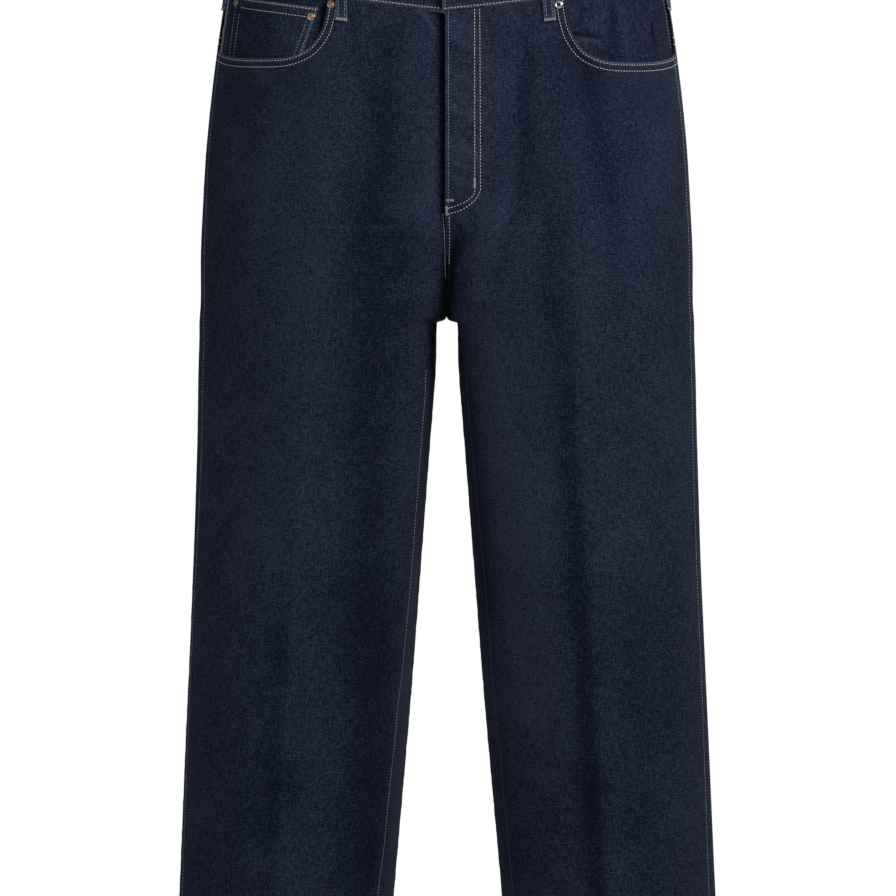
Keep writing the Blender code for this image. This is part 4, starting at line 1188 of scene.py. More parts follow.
class JEANS_OT_pockets(bpy.types.Operator):
    """Cuts the pocket facings, the coin pocket and the two plain back pockets"""

    bl_idname = "jeans.pockets"
    bl_label = "Pockets"

    def execute(self, context):
        finishes = cloth_finishes()
        for side in (RIGHT, LEFT):
            depth = UNDER_CLOTH - (COIN_WALL + LAYER_GAP if side == RIGHT else 0)
            grid = facing_grid(side)
            height, shade = crumples(side, *grid)
            cut("facing_" + side_name(side), "facing", laid(side, grid, depth + height), FACING_WALL, finishes,
                fade=shade)
            cut("back_pocket_" + side_name(side), "back_pocket", laid(side, back_pocket_grid(), OVER_CLOTH), WALL,
                finishes, Edges(0.9, 0.5, 0.5, 0.5))
        cut("coin_pocket", "coin_pocket", laid(RIGHT, coin_grid(), UNDER_CLOTH), COIN_WALL, finishes,
            Edges(1, 0, 0.6, 0.1))
        return {"FINISHED"}


class JEANS_OT_fly_shield(bpy.types.Operator):
    """Cuts the strip behind the fly"""

    bl_idname = "jeans.fly_shield"
    bl_label = "Fly shield"

    def execute(self, context):
        cut("fly_shield", "fly_shield", fly_shield_grid(), WALL, face_finishes())
        return {"FINISHED"}


# The painted shadow beside the left end, on the part of the right end that it covers: its x, its reach and its
# darkness.
LAP_SHADE_X, LAP_SHADE_REACH, LAP_SHADE = -7.2 * MM, 3.2 * MM, -2.6


class JEANS_OT_waistband(bpy.types.Operator):
    """Cuts the folded waistband, whose left end lies over its right one"""

    bl_idname = "jeans.waistband"
    bl_label = "Waistband"

    def execute(self, context):
        point, normal = band_grid()
        away = (point[..., 0] - LAP_SHADE_X) / LAP_SHADE_REACH
        shade = LAP_SHADE * np.exp(-(away ** 2)) * (point[..., 1] < 0)
        cut("waistband", "waistband", (point, normal), BAND_WALL, face_finishes(), Edges(0.9, 0.1, 0, 0.8),
            fade=shade)
        for side in (RIGHT, LEFT):
            heights = graded(*TURNED_UP, FINE, 1 * MM, 1 * MM)[:, None]
            point, normal = band_face(side, heights, BACK_COLUMNS[None])
            point = point - normal * (BAND_WALL - BAND_PROUD + SEAM_GAP)
            dressed(shell("seam_edge_" + side_name(side), point, normal, TURNED_UP_WALL), face_finishes())
        return {"FINISHED"}


class JEANS_OT_belt_loops(bpy.types.Operator):
    """Folds the five belt loops over the waistband"""

    bl_idname = "jeans.belt_loops"
    bl_label = "Belt loops"

    def execute(self, context):
        for loop in LOOPS:
            kind = loop.node if loop.node in CUTS else "belt_loop"
            cut(loop.node, kind, loop_grid(loop), LOOP_WALL, face_finishes(), Edges(0.8, 0.8, 1, 1))
        return {"FINISHED"}


class JEANS_OT_hems(bpy.types.Operator):
    """Turns up the two hems inside the legs"""

    bl_idname = "jeans.hems"
    bl_label = "Hems"

    def execute(self, context):
        for side in (RIGHT, LEFT):
            cut("hem_" + side_name(side), "hem", laid(side, hem_grid(), UNDER_CLOTH), WALL, cloth_finishes()[::-1],
                Edges(0, 0.6, 0, 0), looped=True)
        return {"FINISHED"}


# ---- Sewing ----


class Recipe(Nodes):
    """A Geometry Nodes tree under construction, with named inputs."""

    def __init__(self, name, **inputs):
        super().__init__(bpy.data.node_groups.new(name, "GeometryNodeTree"))
        face = self.tree.interface
        face.new_socket("Geometry", in_out="INPUT", socket_type="NodeSocketGeometry")
        for label, kind in inputs.items():
            face.new_socket(label, in_out="INPUT", socket_type="NodeSocket" + kind)
        face.new_socket("Geometry", in_out="OUTPUT", socket_type="NodeSocketGeometry")
        self.given = self.tree.nodes.new("NodeGroupInput").outputs
        self.made = self.tree.nodes.new("NodeGroupOutput").inputs

    def given_number(self, label):
        return Wire(self, self.given[label])

    def spot(self, x, y, z):
        return self.add("ShaderNodeCombineXYZ", None, (x, y, z)).outputs[0]

    def ups(self):
        return self.add("GeometryNodeInputNamedAttribute", {"data_type": "FLOAT_VECTOR"}, Name="up").outputs[0]

    def set_on(self, points, stand, turn, piece, **more):
        """Real copies of a piece on the points, stood up and then turned about their own ups, in the Finish."""
        turn = self.add("FunctionNodeEulerToRotation", Euler=self.spot(0.0, 0.0, turn)).outputs[0]
        spun = self.add("FunctionNodeRotateRotation", {"rotation_space": "LOCAL"}, Rotation=stand, Rotate_By=turn)
        copies = self.add(
            "GeometryNodeInstanceOnPoints", Points=points, Instance=piece, Rotation=spun.outputs[0], **more)
        real = self.add("GeometryNodeRealizeInstances", Geometry=copies.outputs[0])
        coloured = self.add("GeometryNodeSetMaterial", Geometry=real.outputs[0], Material=self.given["Finish"])
        self.join(coloured.outputs[0], self.made["Geometry"])
        return self.tree


STITCH_SUNK, STITCH_RISEN = -0.42, 1.02  # a stitch's ends and the handle of its bow, as shares of its width
STITCH_LEAN = 0.07  # either way, at random
STITCH_SIZES = (0.90, 0.88, 0.80), (1.05, 1.10, 1.15)  # its least and its greatest size each way


def stitch_recipe():
    """One stitch at each pitch along the edges of a mesh, standing on the way its points' up tells."""
    name = "Stitch row"
    if name in bpy.data.node_groups:
        return bpy.data.node_groups[name]
    recipe = Recipe(name, Pitch="Float", Length="Float", Width="Float", Slant="Float", Finish="Material", Seed="Int")
    seed, width = recipe.given["Seed"], recipe.given_number("Width")
    line = recipe.add("GeometryNodeMeshToCurve", Mesh=recipe.given["Geometry"])
    dots = recipe.add(
        "GeometryNodeResampleCurve", {"mode": "LENGTH"}, Curve=line.outputs[0], Length=recipe.given["Pitch"])
    half, sunk = recipe.given_number("Length") * 0.5, width * STITCH_SUNK
    bow = recipe.add(
        "GeometryNodeCurveQuadraticBezier", Resolution=4,
        Start=recipe.spot(half * -1.0, 0.0, sunk), Middle=recipe.spot(0.0, 0.0, width * STITCH_RISEN),
        End=recipe.spot(half, 0.0, sunk))
    ring = recipe.add("GeometryNodeCurvePrimitiveCircle", {"mode": "RADIUS"}, Resolution=6, Radius=width * 0.5)
    thread = recipe.add(
        "GeometryNodeCurveToMesh", Curve=bow.outputs[0], Profile_Curve=ring.outputs[0], Fill_Caps=True)
    way = recipe.add("GeometryNodeInputTangent").outputs[0]
    ahead = recipe.add("FunctionNodeAlignRotationToVector", {"axis": "X"}, Vector=way)
    stood = recipe.add(
        "FunctionNodeAlignRotationToVector", {"axis": "Z", "pivot_axis": "X"},
        Rotation=ahead.outputs[0], Vector=recipe.ups())
    angle = recipe.add("FunctionNodeRandomValue", {"data_type": "FLOAT"}, Seed=seed)
    angle.inputs[2].default_value, angle.inputs[3].default_value = -STITCH_LEAN, STITCH_LEAN
    size = recipe.add("FunctionNodeRandomValue", {"data_type": "FLOAT_VECTOR"}, STITCH_SIZES, Seed=seed)
    lean = Wire(recipe, angle.outputs[1]) + recipe.given_number("Slant")
    return recipe.set_on(dots.outputs[0], stood.outputs[0], lean, thread.outputs[0], Scale=size.outputs[0])


def row_on(name, lines, recipe, **inputs):
    """Runs a recipe along lines of (points, ups) and keeps its result as a plain mesh."""
    mesh = bpy.data.meshes.new(name + "_lines")
    points, ups = (np.concatenate(parts) for parts in zip(*lines))
    edges, first = [], 0
    for line, _ in lines:
        edges += [(first + i, first + i + 1) for i in range(len(line) - 1)]
        first += len(line)
    mesh.from_pydata(points.tolist(), edges, [])
    mesh.attributes.new("up", "FLOAT_VECTOR", "POINT").data.foreach_set("vector", ups.ravel())
    guide = placed(name + "_lines", mesh)
    nodes = guide.modifiers.new("sewing", "NODES")
    nodes.node_group = recipe
    sockets = {item.name: item.identifier for item in recipe.interface.items_tree if item.in_out == "INPUT"}
    for label, value in inputs.items():
        nodes[sockets[label]] = value
    result = bpy.data.meshes.new_from_object(guide.evaluated_get(bpy.context.evaluated_depsgraph_get()))
    result.name = name
    bpy.data.objects.remove(guide, do_unlink=True)
    result.shade_smooth()
    return placed(name, result)


def stitches(name, thread, lines, seed, pitch=None, length=None, width=None, slant=0.0):
    """A piece of thread: rows of stitches along lines."""
    sizes = bpy.context.scene.jeans_sewing
    made = row_on(
        name, lines, stitch_recipe(), Slant=slant, Finish=thread_finish(thread), Seed=seed,
        Pitch=pitch or sizes.stitch_pitch, Length=length or sizes.stitch_length, Width=width or sizes.thread_width)
    dressed(made)


def tack(name, thread, lines, seed, width):
    """Bar tacks: close stitches that lie across their lines."""
    stitches(name, thread, lines, seed, TACK_PITCH, width, TACK_THREAD, math.pi / 2)


def shifted(side, t, p, sideways):
    """A line of places moved sideways on the cloth, to the right of its way as seen from outside on the +X half."""
    t, p = np.array(t, float), np.array(p, float)
    step, rounds = 0.01, 3
    for _ in range(rounds):
        here = section_point(side, t, p)
        way = np.gradient(here, axis=0)
        normal = surface_normal(lambda a, b: section_point(side, a, b), t, p)
        lateral = np.cross(way, normal)
        lateral *= sideways / rounds / np.linalg.norm(lateral, axis=-1, keepdims=True)
        by_t = (section_point(side, t + step, p) - section_point(side, t - step, p)) / (2 * step)
        q0, q1 = np.clip(p - step, 0, 4), np.clip(p + step, 0, 4)
        by_p = (section_point(side, t, q1) - section_point(side, t, q0)) / (q1 - q0)[:, None]
        tt, pp, tp = (np.sum(a * b, -1) for a, b in ((by_t, by_t), (by_p, by_p), (by_t, by_p)))
        lt, lp = np.sum(lateral * by_t, -1), np.sum(lateral * by_p, -1)
        spread = tt * pp - tp * tp
        t = np.clip(t + (lt * pp - lp * tp) / spread, 0, HEM_T)
        p = np.clip(p + (lp * tt - lt * tp) / spread, 0, 4)
    return t, p


def place_on_front(side, x, z):
    """The place t, p of a front that lies at x and z, both in metres and x from the wearer's middle."""
    x, z = np.asarray(x, float), np.asarray(z, float)
    t, p = row_at(z), np.clip(x / 0.11, 0, 1.8)
    step = 0.01
    for _ in range(14):
        here = section_point(side, t, p)
        by_t = (section_point(side, t + step, p) - here) / step
        by_p = (section_point(side, t, p + step) - here) / step
        dx, dz = x - here[..., 0], z - here[..., 2]
        spread = by_t[..., 0] * by_p[..., 2] - by_t[..., 2] * by_p[..., 0]
        t = np.clip(t + (dx * by_p[..., 2] - dz * by_p[..., 0]) / spread, 0, HEM_T)
        p = np.clip(p + (dz * by_t[..., 0] - dx * by_t[..., 2]) / spread, 0, 1.97)
    return t, p


def curve_through(points, count=60):
    """Columns of numbers on a smooth curve through the points."""
    table = np.array(points, float)
    k = np.linspace(0, len(table) - 1, count)
    return [along(table[:, i], k) for i in range(table.shape[1])]


def on_front(points, count=60):
    """A line of stitches through points of the left front, given as x and z in millimetres."""
    x, z = curve_through(points, count)
    return laid(LEFT, place_on_front(LEFT, x * MM, z * MM), ON_CLOTH)


def downward(side, p, t_from, t_to, sideways):
    """A line of stitches down the cloth beside a column, with a positive number towards greater p."""
    t = np.linspace(t_from, t_to, int(60 * (t_to - t_from)) + 2)
    return laid(side, shifted(side, t, np.full(t.shape, float(p)), -sideways), ON_CLOTH)


def mouth_line(side, below):
    """A line of stitches along a pocket mouth, that far below its edge on the front."""
    p, drop = (values[1:] for values in mouth_places(side))
    return laid(side, shifted(side, row_of_drop(side, p, drop), p, below), ON_CLOTH)


def thread_finish(kind):
    """Cotton thread of one of the sewing colours, made once."""
    name = "thread_" + kind
    if name in bpy.data.materials:
        return bpy.data.materials[name]
    tone = getattr(bpy.context.scene.jeans_sewing, kind)
    made = Finish(name, 0.7, Specular_IOR_Level=0.12, Sheen_Weight=0.03)
    place = made.add("ShaderNodeTexCoord").outputs["Object"]
    uneven = made.noise(place, (6 * MM,) * 3, 2.0)
    fibres = made.noise(place, (0.25 * MM,) * 3, 1.0)
    made.paint(made.blend(uneven, colour([0.72 * c for c in tone]), colour([min(1.0, 1.25 * c) for c in tone])))
    made.emboss(fibres, 0.05 * MM)
    return made.material


class SewingSizes(bpy.types.PropertyGroup):
    """The stitches and their thread."""

    stitch_pitch: FloatProperty(
        name="Stitch pitch", description="From one stitch to the next", unit="LENGTH", default=0.0028, min=0.001)
    stitch_length: FloatProperty(
        name="Stitch length", description="Of the thread that shows", unit="LENGTH", default=0.00150, min=0.0005)
    thread_width: FloatProperty(
        name="Thread width", description="Across one thread", unit="LENGTH", default=0.00050, min=0.0001)
    row_gap: FloatProperty(
        name="Row gap", description="Between the two rows of a double seam", unit="LENGTH",
        default=0.0060, min=0.002)
    beige: tint("Beige thread", "Of the topstitching", (0.62, 0.58, 0.51))
    tonal: tint("Tonal thread", "Of the fly's edge, the rise and the loops", (0.22, 0.26, 0.335))
    grey: tint("Grey thread", "Of the right inseam", (0.22, 0.245, 0.29))
    # Painted shade: the dim thread is a darker copy of the grey inseam thread, for the left inseam on the leg's
    # shaded inner side.
    dim: tint("Dim thread", "Of the left inseam", (0.075, 0.088, 0.115))
    # Painted shadow: the dark thread is the rise's thread made nearly black where it runs into the fork's hollow.
    dark: tint("Dark thread", "Of the rise at the fork", (0.014, 0.015, 0.018))
    gold: tint("Gold thread", "Of the bar tacks", (0.42, 0.385, 0.31))
    brown: tint("Brown thread", "Of the bar tacks at the side seams", (0.16, 0.072, 0.040))


EDGE_ROW = 1.7 * MM  # from an edge to the row of stitches beside it
ON_CLOTH = 0.10 * MM  # how far the middle of a stitch's ends stands over the cloth
BAND_ROWS = (2.0 * MM, 38.0 * MM)
RISE_ROW = {LEFT: 3.5 * MM, RIGHT: 1.5 * MM}
RISE_THREAD = (1.9 * MM, 0.74 * MM)  # length and width of a stitch
RISE_LIT_TO = (0.248, 0.236)  # below the waist, where the right and the left row pass into the fork's hollow; below that they are sewn in the dark thread as painted shadow
SEAT_ROW = 2.6 * MM
FLY_ROW = 2.9 * MM
FLY_ROW_FOOT_Z = -187 * MM
RISE_TOP_Z = -197 * MM
RISE_FOOT_T = 7.3
POCKET_HEM = 11 * MM
POCKET_CORNER = 4  # grid rows at a back pocket's top that its side rows leave free
TOP_ROW_T = 0.06
TACK_PITCH, TACK_THREAD = 0.9 * MM, 0.52 * MM
CORNER_TACK = 8 * MM
LOOP_ROW, LOOP_TACKS = (0.12, 5.75), (0.22, 5.86)  # places of LOOP_ROWS
MOUTH_TACK = (0.8 * MM, 6.8 * MM)  # below the mouth's edge
MOUTH_ROWS = (2.4 * MM, 7.7 * MM)  # below the mouth's edge
MOUTH_EDGE_THREAD = 0.42 * MM
COIN_ROW_GAP = 7.4 * MM
COIN_INNER_GAP = 4.6 * MM
COIN_OUTER_ROWS = (1.0 * MM, 2.4 * MM)  # further in at the coin pocket's outer side
HEM_ROW = 11.5 * MM
SIDE_ROW = (6 * MM, 13 * MM)  # from the side seam to its row of stitches, at the top and at the hem
FACING_SIDE_ROW = (2 * MM, 52 * MM)  # below the waist seam
# The fly's double row, as x and z in millimetres from the waist seam down and round to the edge.
FLY_INNER = ((24.0, -19.4), (24.0, -60), (24.0, -110), (24.0, -150), (24.0, -173), (23.6, -176.5), (22.4, -179.3),
             (20.1, -181.6), (15.8, -184.6), (9.0, -187.6), (1.9, -189.6))
FLY_OUTER = ((28.3, -19.2), (28.6, -60), (28.8, -110), (28.9, -150), (29.0, -170), (28.4, -175.5), (25.4, -181.4),
             (20.3, -186.6), (14.2, -190.8), (7.5, -193.3), (1.9, -194.4))
FLY_TACKS = (
    ((0.4, -182.8), (3.0, -182.9), (6.0, -183.0)),
    ((0.3, -188.2), (0.3, -191.8), (0.3, -195.4)),
    ((24.0, -164.5), (24.0, -168.0), (24.0, -171.5)),
)
# How far in from the leg's inner outline the inseam's row lies, by height, millimetres.
INSEAM_ROW = {
    RIGHT: ((-300, 8.0), (-413, 9.3), (-524, 10.2), (-776, 12.6), (-1075, 14.5)),
    LEFT: ((-300, 6.0), (-413, 6.8), (-524, 7.8), (-776, 9.2), (-1075, 11.5)),
}


def band_line(h, pieces):
    """A line of stitches round the waistband at the height h, over stretches of (side, first p, last p)."""
    stretches = []
    for side, first, last in pieces:
        p = np.linspace(first, last, int(abs(last - first) * 60) + 2)
        point, normal = band_face(side, np.full(p.shape, h), p)
        stretches.append((point + normal * (BAND_PROUD + ON_CLOTH), normal))
    return tuple(np.concatenate(parts) for parts in zip(*stretches))


class JEANS_OT_sew_waist(bpy.types.Operator):
    """Sews the waistband's two edges and its lapped end"""

    bl_idname = "jeans.sew_waist"
    bl_label = "Waist stitching"

    def execute(self, context):
        lines = [band_line(h, ((RIGHT, 0.05, 4), (LEFT, 3.99, 0))) for h in BAND_ROWS]
        stitches("stitches_waistband", "beige", lines, 3)
        h = np.linspace(*BAND_ROWS, 20)
        point, normal = band_face(LEFT, h, np.full(h.shape, 0.0))
        stitches("stitches_band_end", "tonal", [(point + normal * (BAND_PROUD + ON_CLOTH), normal)], 4)
        return {"FINISHED"}


class JEANS_OT_sew_fly(bpy.types.Operator):
    """Sews the fly's edge and double curved row, and the rise down to the fork and up the back"""

    bl_idname = "jeans.sew_fly"
    bl_label = "Fly and rise stitching"

    def execute(self, context):
        edge = downward(LEFT, 0, TOP_ROW_T, row_at(FLY_ROW_FOOT_Z), FLY_ROW)
        rise = [downward(side, 0, row_at(RISE_TOP_Z), RISE_FOOT_T, RISE_ROW[side]) for side in (RIGHT, LEFT)]
        back = [downward(side, 4, TOP_ROW_T, RISE_FOOT_T, -SEAT_ROW) for side in (RIGHT, LEFT)]
        stitches("stitches_fly_edge", "tonal", [edge], 5)
        lit = [int(np.searchsorted(-line[:, 2], end)) for (line, _), end in zip(rise, RISE_LIT_TO)]
        # The rows' feet in the fork's hollow get the dark thread, as painted shadow.
        for name, thread, cuts in (
            ("stitches_rise", "tonal", [slice(0, n) for n in lit]),
            ("stitches_rise_foot", "dark", [slice(n, None) for n in lit]),
        ):
            parts = [(line[part], up[part]) for (line, up), part in zip(rise, cuts)]
            stitches(name, thread, parts, 6, length=RISE_THREAD[0], width=RISE_THREAD[1])
        stitches("stitches_fly", "beige", [on_front(row, 90) for row in (FLY_INNER, FLY_OUTER)], 7)
        stitches("stitches_seat", "beige", back, 11)
        return {"FINISHED"}


def coin_rows():
    """The coin pocket's rows: the two under its top edge, and the two beside each of its sides."""
    t, p = coin_grid()
    tops, flanks = [], []
    for row, away in enumerate((EDGE_ROW, EDGE_ROW + COIN_ROW_GAP)):
        top = shifted(RIGHT, t[0], p[0], away)
        inner = shifted(RIGHT, t[:, 0], p[:, 0], -EDGE_ROW - row * COIN_INNER_GAP)
        outer = shifted(RIGHT, t[:, -1], p[:, -1], away + COIN_OUTER_ROWS[row])
        between = (top[1] > inner[1][0]) & (top[1] < outer[1][0])
        tops.append(laid(RIGHT, (top[0][between], top[1][between]), UNDER_CLOTH + ON_CLOTH))
        for t_side, p_side in (inner, outer):
            under = t_side > (top[0].min() if row == 0 else top[0].max())
            flanks.append(laid(RIGHT, (t_side[under], p_side[under]), UNDER_CLOTH + ON_CLOTH))
    return tops, flanks


def back_pocket_rows(side, gap):
    """A back pocket's double row down one side, along the foot and up the other, and its hem's row."""
    t, p = back_pocket_grid()
    lines = []
    for away in (EDGE_ROW, EDGE_ROW + gap):
        first, last, foot = (
            np.array(shifted(side, t[part], p[part], -away))
            for part in (np.s_[:, 0], np.s_[::-1, -1], np.s_[-1]))
        first, last = first[:, :len(t) - POCKET_CORNER], last[:, POCKET_CORNER:]
        inside = (foot[1] > first[1].max()) & (foot[1] < last[1].min())
        lines.append(laid(side, np.concatenate([first, foot[:, inside], last], axis=1), OVER_CLOTH + ON_CLOTH))
    hem = shifted(side, t[0, 2:-2], p[0, 2:-2], POCKET_HEM)
    return lines + [laid(side, hem, OVER_CLOTH + ON_CLOTH)]


class JEANS_OT_sew_pockets(bpy.types.Operator):
    """Sews the pocket mouths, the coin pocket and the back pockets"""

    bl_idname = "jeans.sew_pockets"
    bl_label = "Pocket stitching"

    def execute(self, context):
        for side, seed in ((RIGHT, 13), (LEFT, 17)):
            near, far = (mouth_line(side, below) for below in MOUTH_ROWS)
            stitches("stitches_mouth_edge_" + side_name(side), "beige", [near], seed, width=MOUTH_EDGE_THREAD)
            stitches("stitches_mouth_" + side_name(side), "beige", [far], seed + 2)
        tops, flanks = coin_rows()
        stitches("stitches_coin_top", "beige", tops, 23)
        stitches("stitches_coin_sides", "tonal", flanks, 24)
        for side in (RIGHT, LEFT):
            rows = back_pocket_rows(side, context.scene.jeans_sewing.row_gap)
            stitches("stitches_back_pocket_" + side_name(side), "beige", rows, 29 + side)
        return {"FINISHED"}


def inseam_line(side):
    """The inseam's row, on the front of a leg beside its inner outline."""
    z, away = (np.array(values) * MM for values in zip(*INSEAM_ROW[side]))
    t = np.linspace(FORK_T + 2, HEM_T - 0.01, 260)
    p = np.linspace(0, 1, 200)
    outline = section_point(side, t[:, None], p[None])[..., 0]
    target = outline.min(axis=1) + np.interp(-level_of(t), -z, away)
    found = [np.interp(x, xs[xs.argmin():], p[xs.argmin():]) for x, xs in zip(target, outline)]
    return laid(side, (t, np.array(found)), ON_CLOTH)


class JEANS_OT_sew_legs(bpy.types.Operator):
    """Sews the yokes, the side seams, the inseams and the hems"""

    bl_idname = "jeans.sew_legs"
    bl_label = "Leg stitching"

    def execute(self, context):
        yokes, sides, inseams, hems = [], [], [], []
        for side in (RIGHT, LEFT):
            t = row_of_drop(side, BACK_COLUMNS, yoke_drop(BACK_COLUMNS))
            for away in (EDGE_ROW, EDGE_ROW + context.scene.jeans_sewing.row_gap):
                yokes.append(laid(side, shifted(side, t, BACK_COLUMNS, away), ON_CLOTH))
            top = mouth_end(side)
            t = np.linspace(top + 0.02, HEM_T - 0.01, 400)
            sides.append(laid(side, (t, SEAM_P - np.interp(t, (top, HEM_T), SIDE_ROW) / SPAN), ON_CLOTH))
            if side == LEFT:
                t = row_of_drop(side, SEAM_P, np.linspace(*FACING_SIDE_ROW, 60))
                sides.append(laid(side, (t, SEAM_P - SIDE_ROW[0] / SPAN), UNDER_CLOTH + ON_CLOTH))
            inseams.append(inseam_line(side))
            hems.append(laid(side, (HEM_T - HEM_ROW / LAST_ROW, ALL_COLUMNS), ON_CLOTH))
        stitches("stitches_yokes", "beige", yokes, 31)
        stitches("stitches_side_seams", "tonal", sides, 37)
        stitches("stitches_inseam_right", "grey", inseams[:1], 41)
        # The left inseam is sewn in the darker copy of the inseam thread, as painted shade.
        stitches("stitches_inseam_left", "dim", inseams[1:], 42)
        stitches("stitches_hems", "beige", hems, 43)
        return {"FINISHED"}


def on_loop(loop, places, columns):
    """A line of stitches across a belt loop, or along it: places of its rows, and columns from -1 to 1."""
    fine, ups = (refined(part, places).reshape(-1, 3) for part in loop_lines(loop, columns))
    return fine + ups * ON_CLOTH, ups


class JEANS_OT_sew_loops(bpy.types.Operator):
    """Sews the belt loops' two rows and the tacks at their ends"""

    bl_idname = "jeans.sew_loops"
    bl_label = "Belt loop stitching"

    def execute(self, context):
        rows, tacks = [], []
        for loop in LOOPS:
            rows += [on_loop(loop, np.linspace(*LOOP_ROW, 40), np.array([column])) for column in (-0.5, 0.5)]
            tacks += [on_loop(loop, np.array([place]), np.linspace(-0.86, 0.86, 9)) for place in LOOP_TACKS]
        stitches("stitches_belt_loops", "tonal", rows, 47)
        tack("tacks_belt_loops", "gold", tacks, 53, 2.2 * MM)
        return {"FINISHED"}


class JEANS_OT_tacks(bpy.types.Operator):
    """Sews the bar tacks of the fly and the pockets"""

    bl_idname = "jeans.tacks"
    bl_label = "Bar tacks"

    def execute(self, context):
        tack("tacks_fly", "gold", [on_front(line, 12) for line in FLY_TACKS], 59, 2.0 * MM)
        mouths, corners = [], []
        for side in (RIGHT, LEFT):
            p = SEAM_P - 2.4 * MM / SPAN
            drop = POCKET_MOUTH[-1].drop * MOUTH_DEPTH[side] * MM + np.linspace(*MOUTH_TACK, 12)
            mouths.append(laid(side, (row_of_drop(side, p, drop), p), ON_CLOTH))
            t, p = back_pocket_grid()
            for column, inwards in ((0, -2.2 * MM), (-1, 2.2 * MM)):
                t_down, p_down = shifted(side, t[:12, column], p[:12, column], inwards)
                steps = np.linalg.norm(np.diff(section_point(side, t_down, p_down), axis=0), axis=1)
                keep = np.cumsum(np.append(0, steps)) < CORNER_TACK
                corners.append(laid(side, (t_down[keep], p_down[keep]), OVER_CLOTH + ON_CLOTH))
        tack("tacks_mouths", "brown", mouths, 61, 2.6 * MM)
        tack("tacks_back_pockets", "gold", corners, 67, 2.4 * MM)
        return {"FINISHED"}


# ---- Metal ----


def metal(name, tone, stain, roughness):
    """Worn metal: stained in its hollows and scratched."""
    made = Finish(name, roughness, Metallic=1.0)
    place = made.add("ShaderNodeTexCoord").outputs["Object"]
    cloud = made.noise(place, (2.2 * MM,) * 3, 4.0, 0.6)
    scratch = made.noise(place, (0.2 * MM, 3 * MM, 0.3 * MM), 1.0)
    made.paint(made.blend(((cloud - 0.42) * 3.0).clamped(), colour(stain), colour(tone)))
    made.join(cloud * 0.22 + scratch * 0.12 + (roughness - 0.17), made.shader["Roughness"])
    made.emboss(cloud * 0.6 + scratch * 0.4, 0.10 * MM)
    return made.material


TURNED_SIDES = 40


def turned(name, profile, finish):
    """A round piece turned from its profile of (radius, height) in millimetres, top to bottom."""
    angles = np.arange(TURNED_SIDES) * TAU / TURNED_SIDES
    rings = np.array([[(r * np.cos(a), r * np.sin(a), h) for a in angles] for r, h in profile[1:-1]]) * MM
    places = [(0, 0, profile[0][1] * MM)] + rings.reshape(-1, 3).tolist() + [(0, 0, profile[-1][1] * MM)]
    faces, last = [], len(places) - 1
    for k in range(TURNED_SIDES):
        after = (k + 1) % TURNED_SIDES
        faces.append((0, 1 + k, 1 + after))
        for a in range(1, last - TURNED_SIDES, TURNED_SIDES):
            b = a + TURNED_SIDES
            faces.append((a + k, b + k, b + after, a + after))
        faces.append((last, last - TURNED_SIDES + after, last - TURNED_SIDES + k))
    mesh = bpy.data.meshes.new(name)
    mesh.from_pydata(places, [], faces)
    mesh.shade_smooth()
    mesh.set_sharp_from_angle(angle=math.radians(60))
    mesh.materials.append(finish)
    return placed(name, mesh)


def trim_recipe():
    """A copy of one metal piece on each point, standing on the way its up tells."""
    name = "Set trim"
    if name in bpy.data.node_groups:
        return bpy.data.node_groups[name]
    recipe = Recipe(name, Piece="Object", Finish="Material", Turn="Float", Seed="Int")
    given = recipe.given
    piece = recipe.add("GeometryNodeObjectInfo", Object=given["Piece"]).outputs["Geometry"]
    stood = recipe.add("FunctionNodeAlignRotationToVector", {"axis": "Z"}, Vector=recipe.ups())
    angle = recipe.add("FunctionNodeRandomValue", {"data_type": "FLOAT"}, Max=given["Turn"], Seed=given["Seed"])
    return recipe.set_on(given["Geometry"], stood.outputs[0], angle.outputs[1], piece)


RIVET_CAP = ((0, 1.50), (0.5, 1.48), (0.95, 1.36), (1.25, 1.08), (1.4, 0.86), (1.7, 0.78), (2.5, 0.86), (3.0, 0.86),
             (3.4, 0.72), (3.68, 0.45), (3.78, 0.15), (3.7, 0.0), (0, 0))
RIVET_RING = ((0, 0.30), (0.9, 0.30), (1.35, 0.34), (1.5, 0.55), (1.62, 0.95), (1.9, 1.16), (2.6, 1.18), (3.2, 0.98),
              (3.6, 0.62), (3.8, 0.20), (3.7, 0.0), (0, 0))
RIVET_EYE = ((0, 0.62), (0.5, 0.60), (1.0, 0.52), (1.40, 0.46), (1.38, 0.31), (0, 0.31))
BUTTON = ((0, 3.45), (1.6, 3.42), (2.6, 3.30), (3.0, 3.12), (3.5, 3.08), (4.4, 3.20), (4.9, 3.62), (5.4, 3.86),
          (6.6, 3.92),
          (7.6, 3.72), (8.2, 3.32), (8.46, 2.85), (8.30, 2.35), (7.6, 1.95), (3.0, 1.7), (2.6, 0.1), (0, 0))


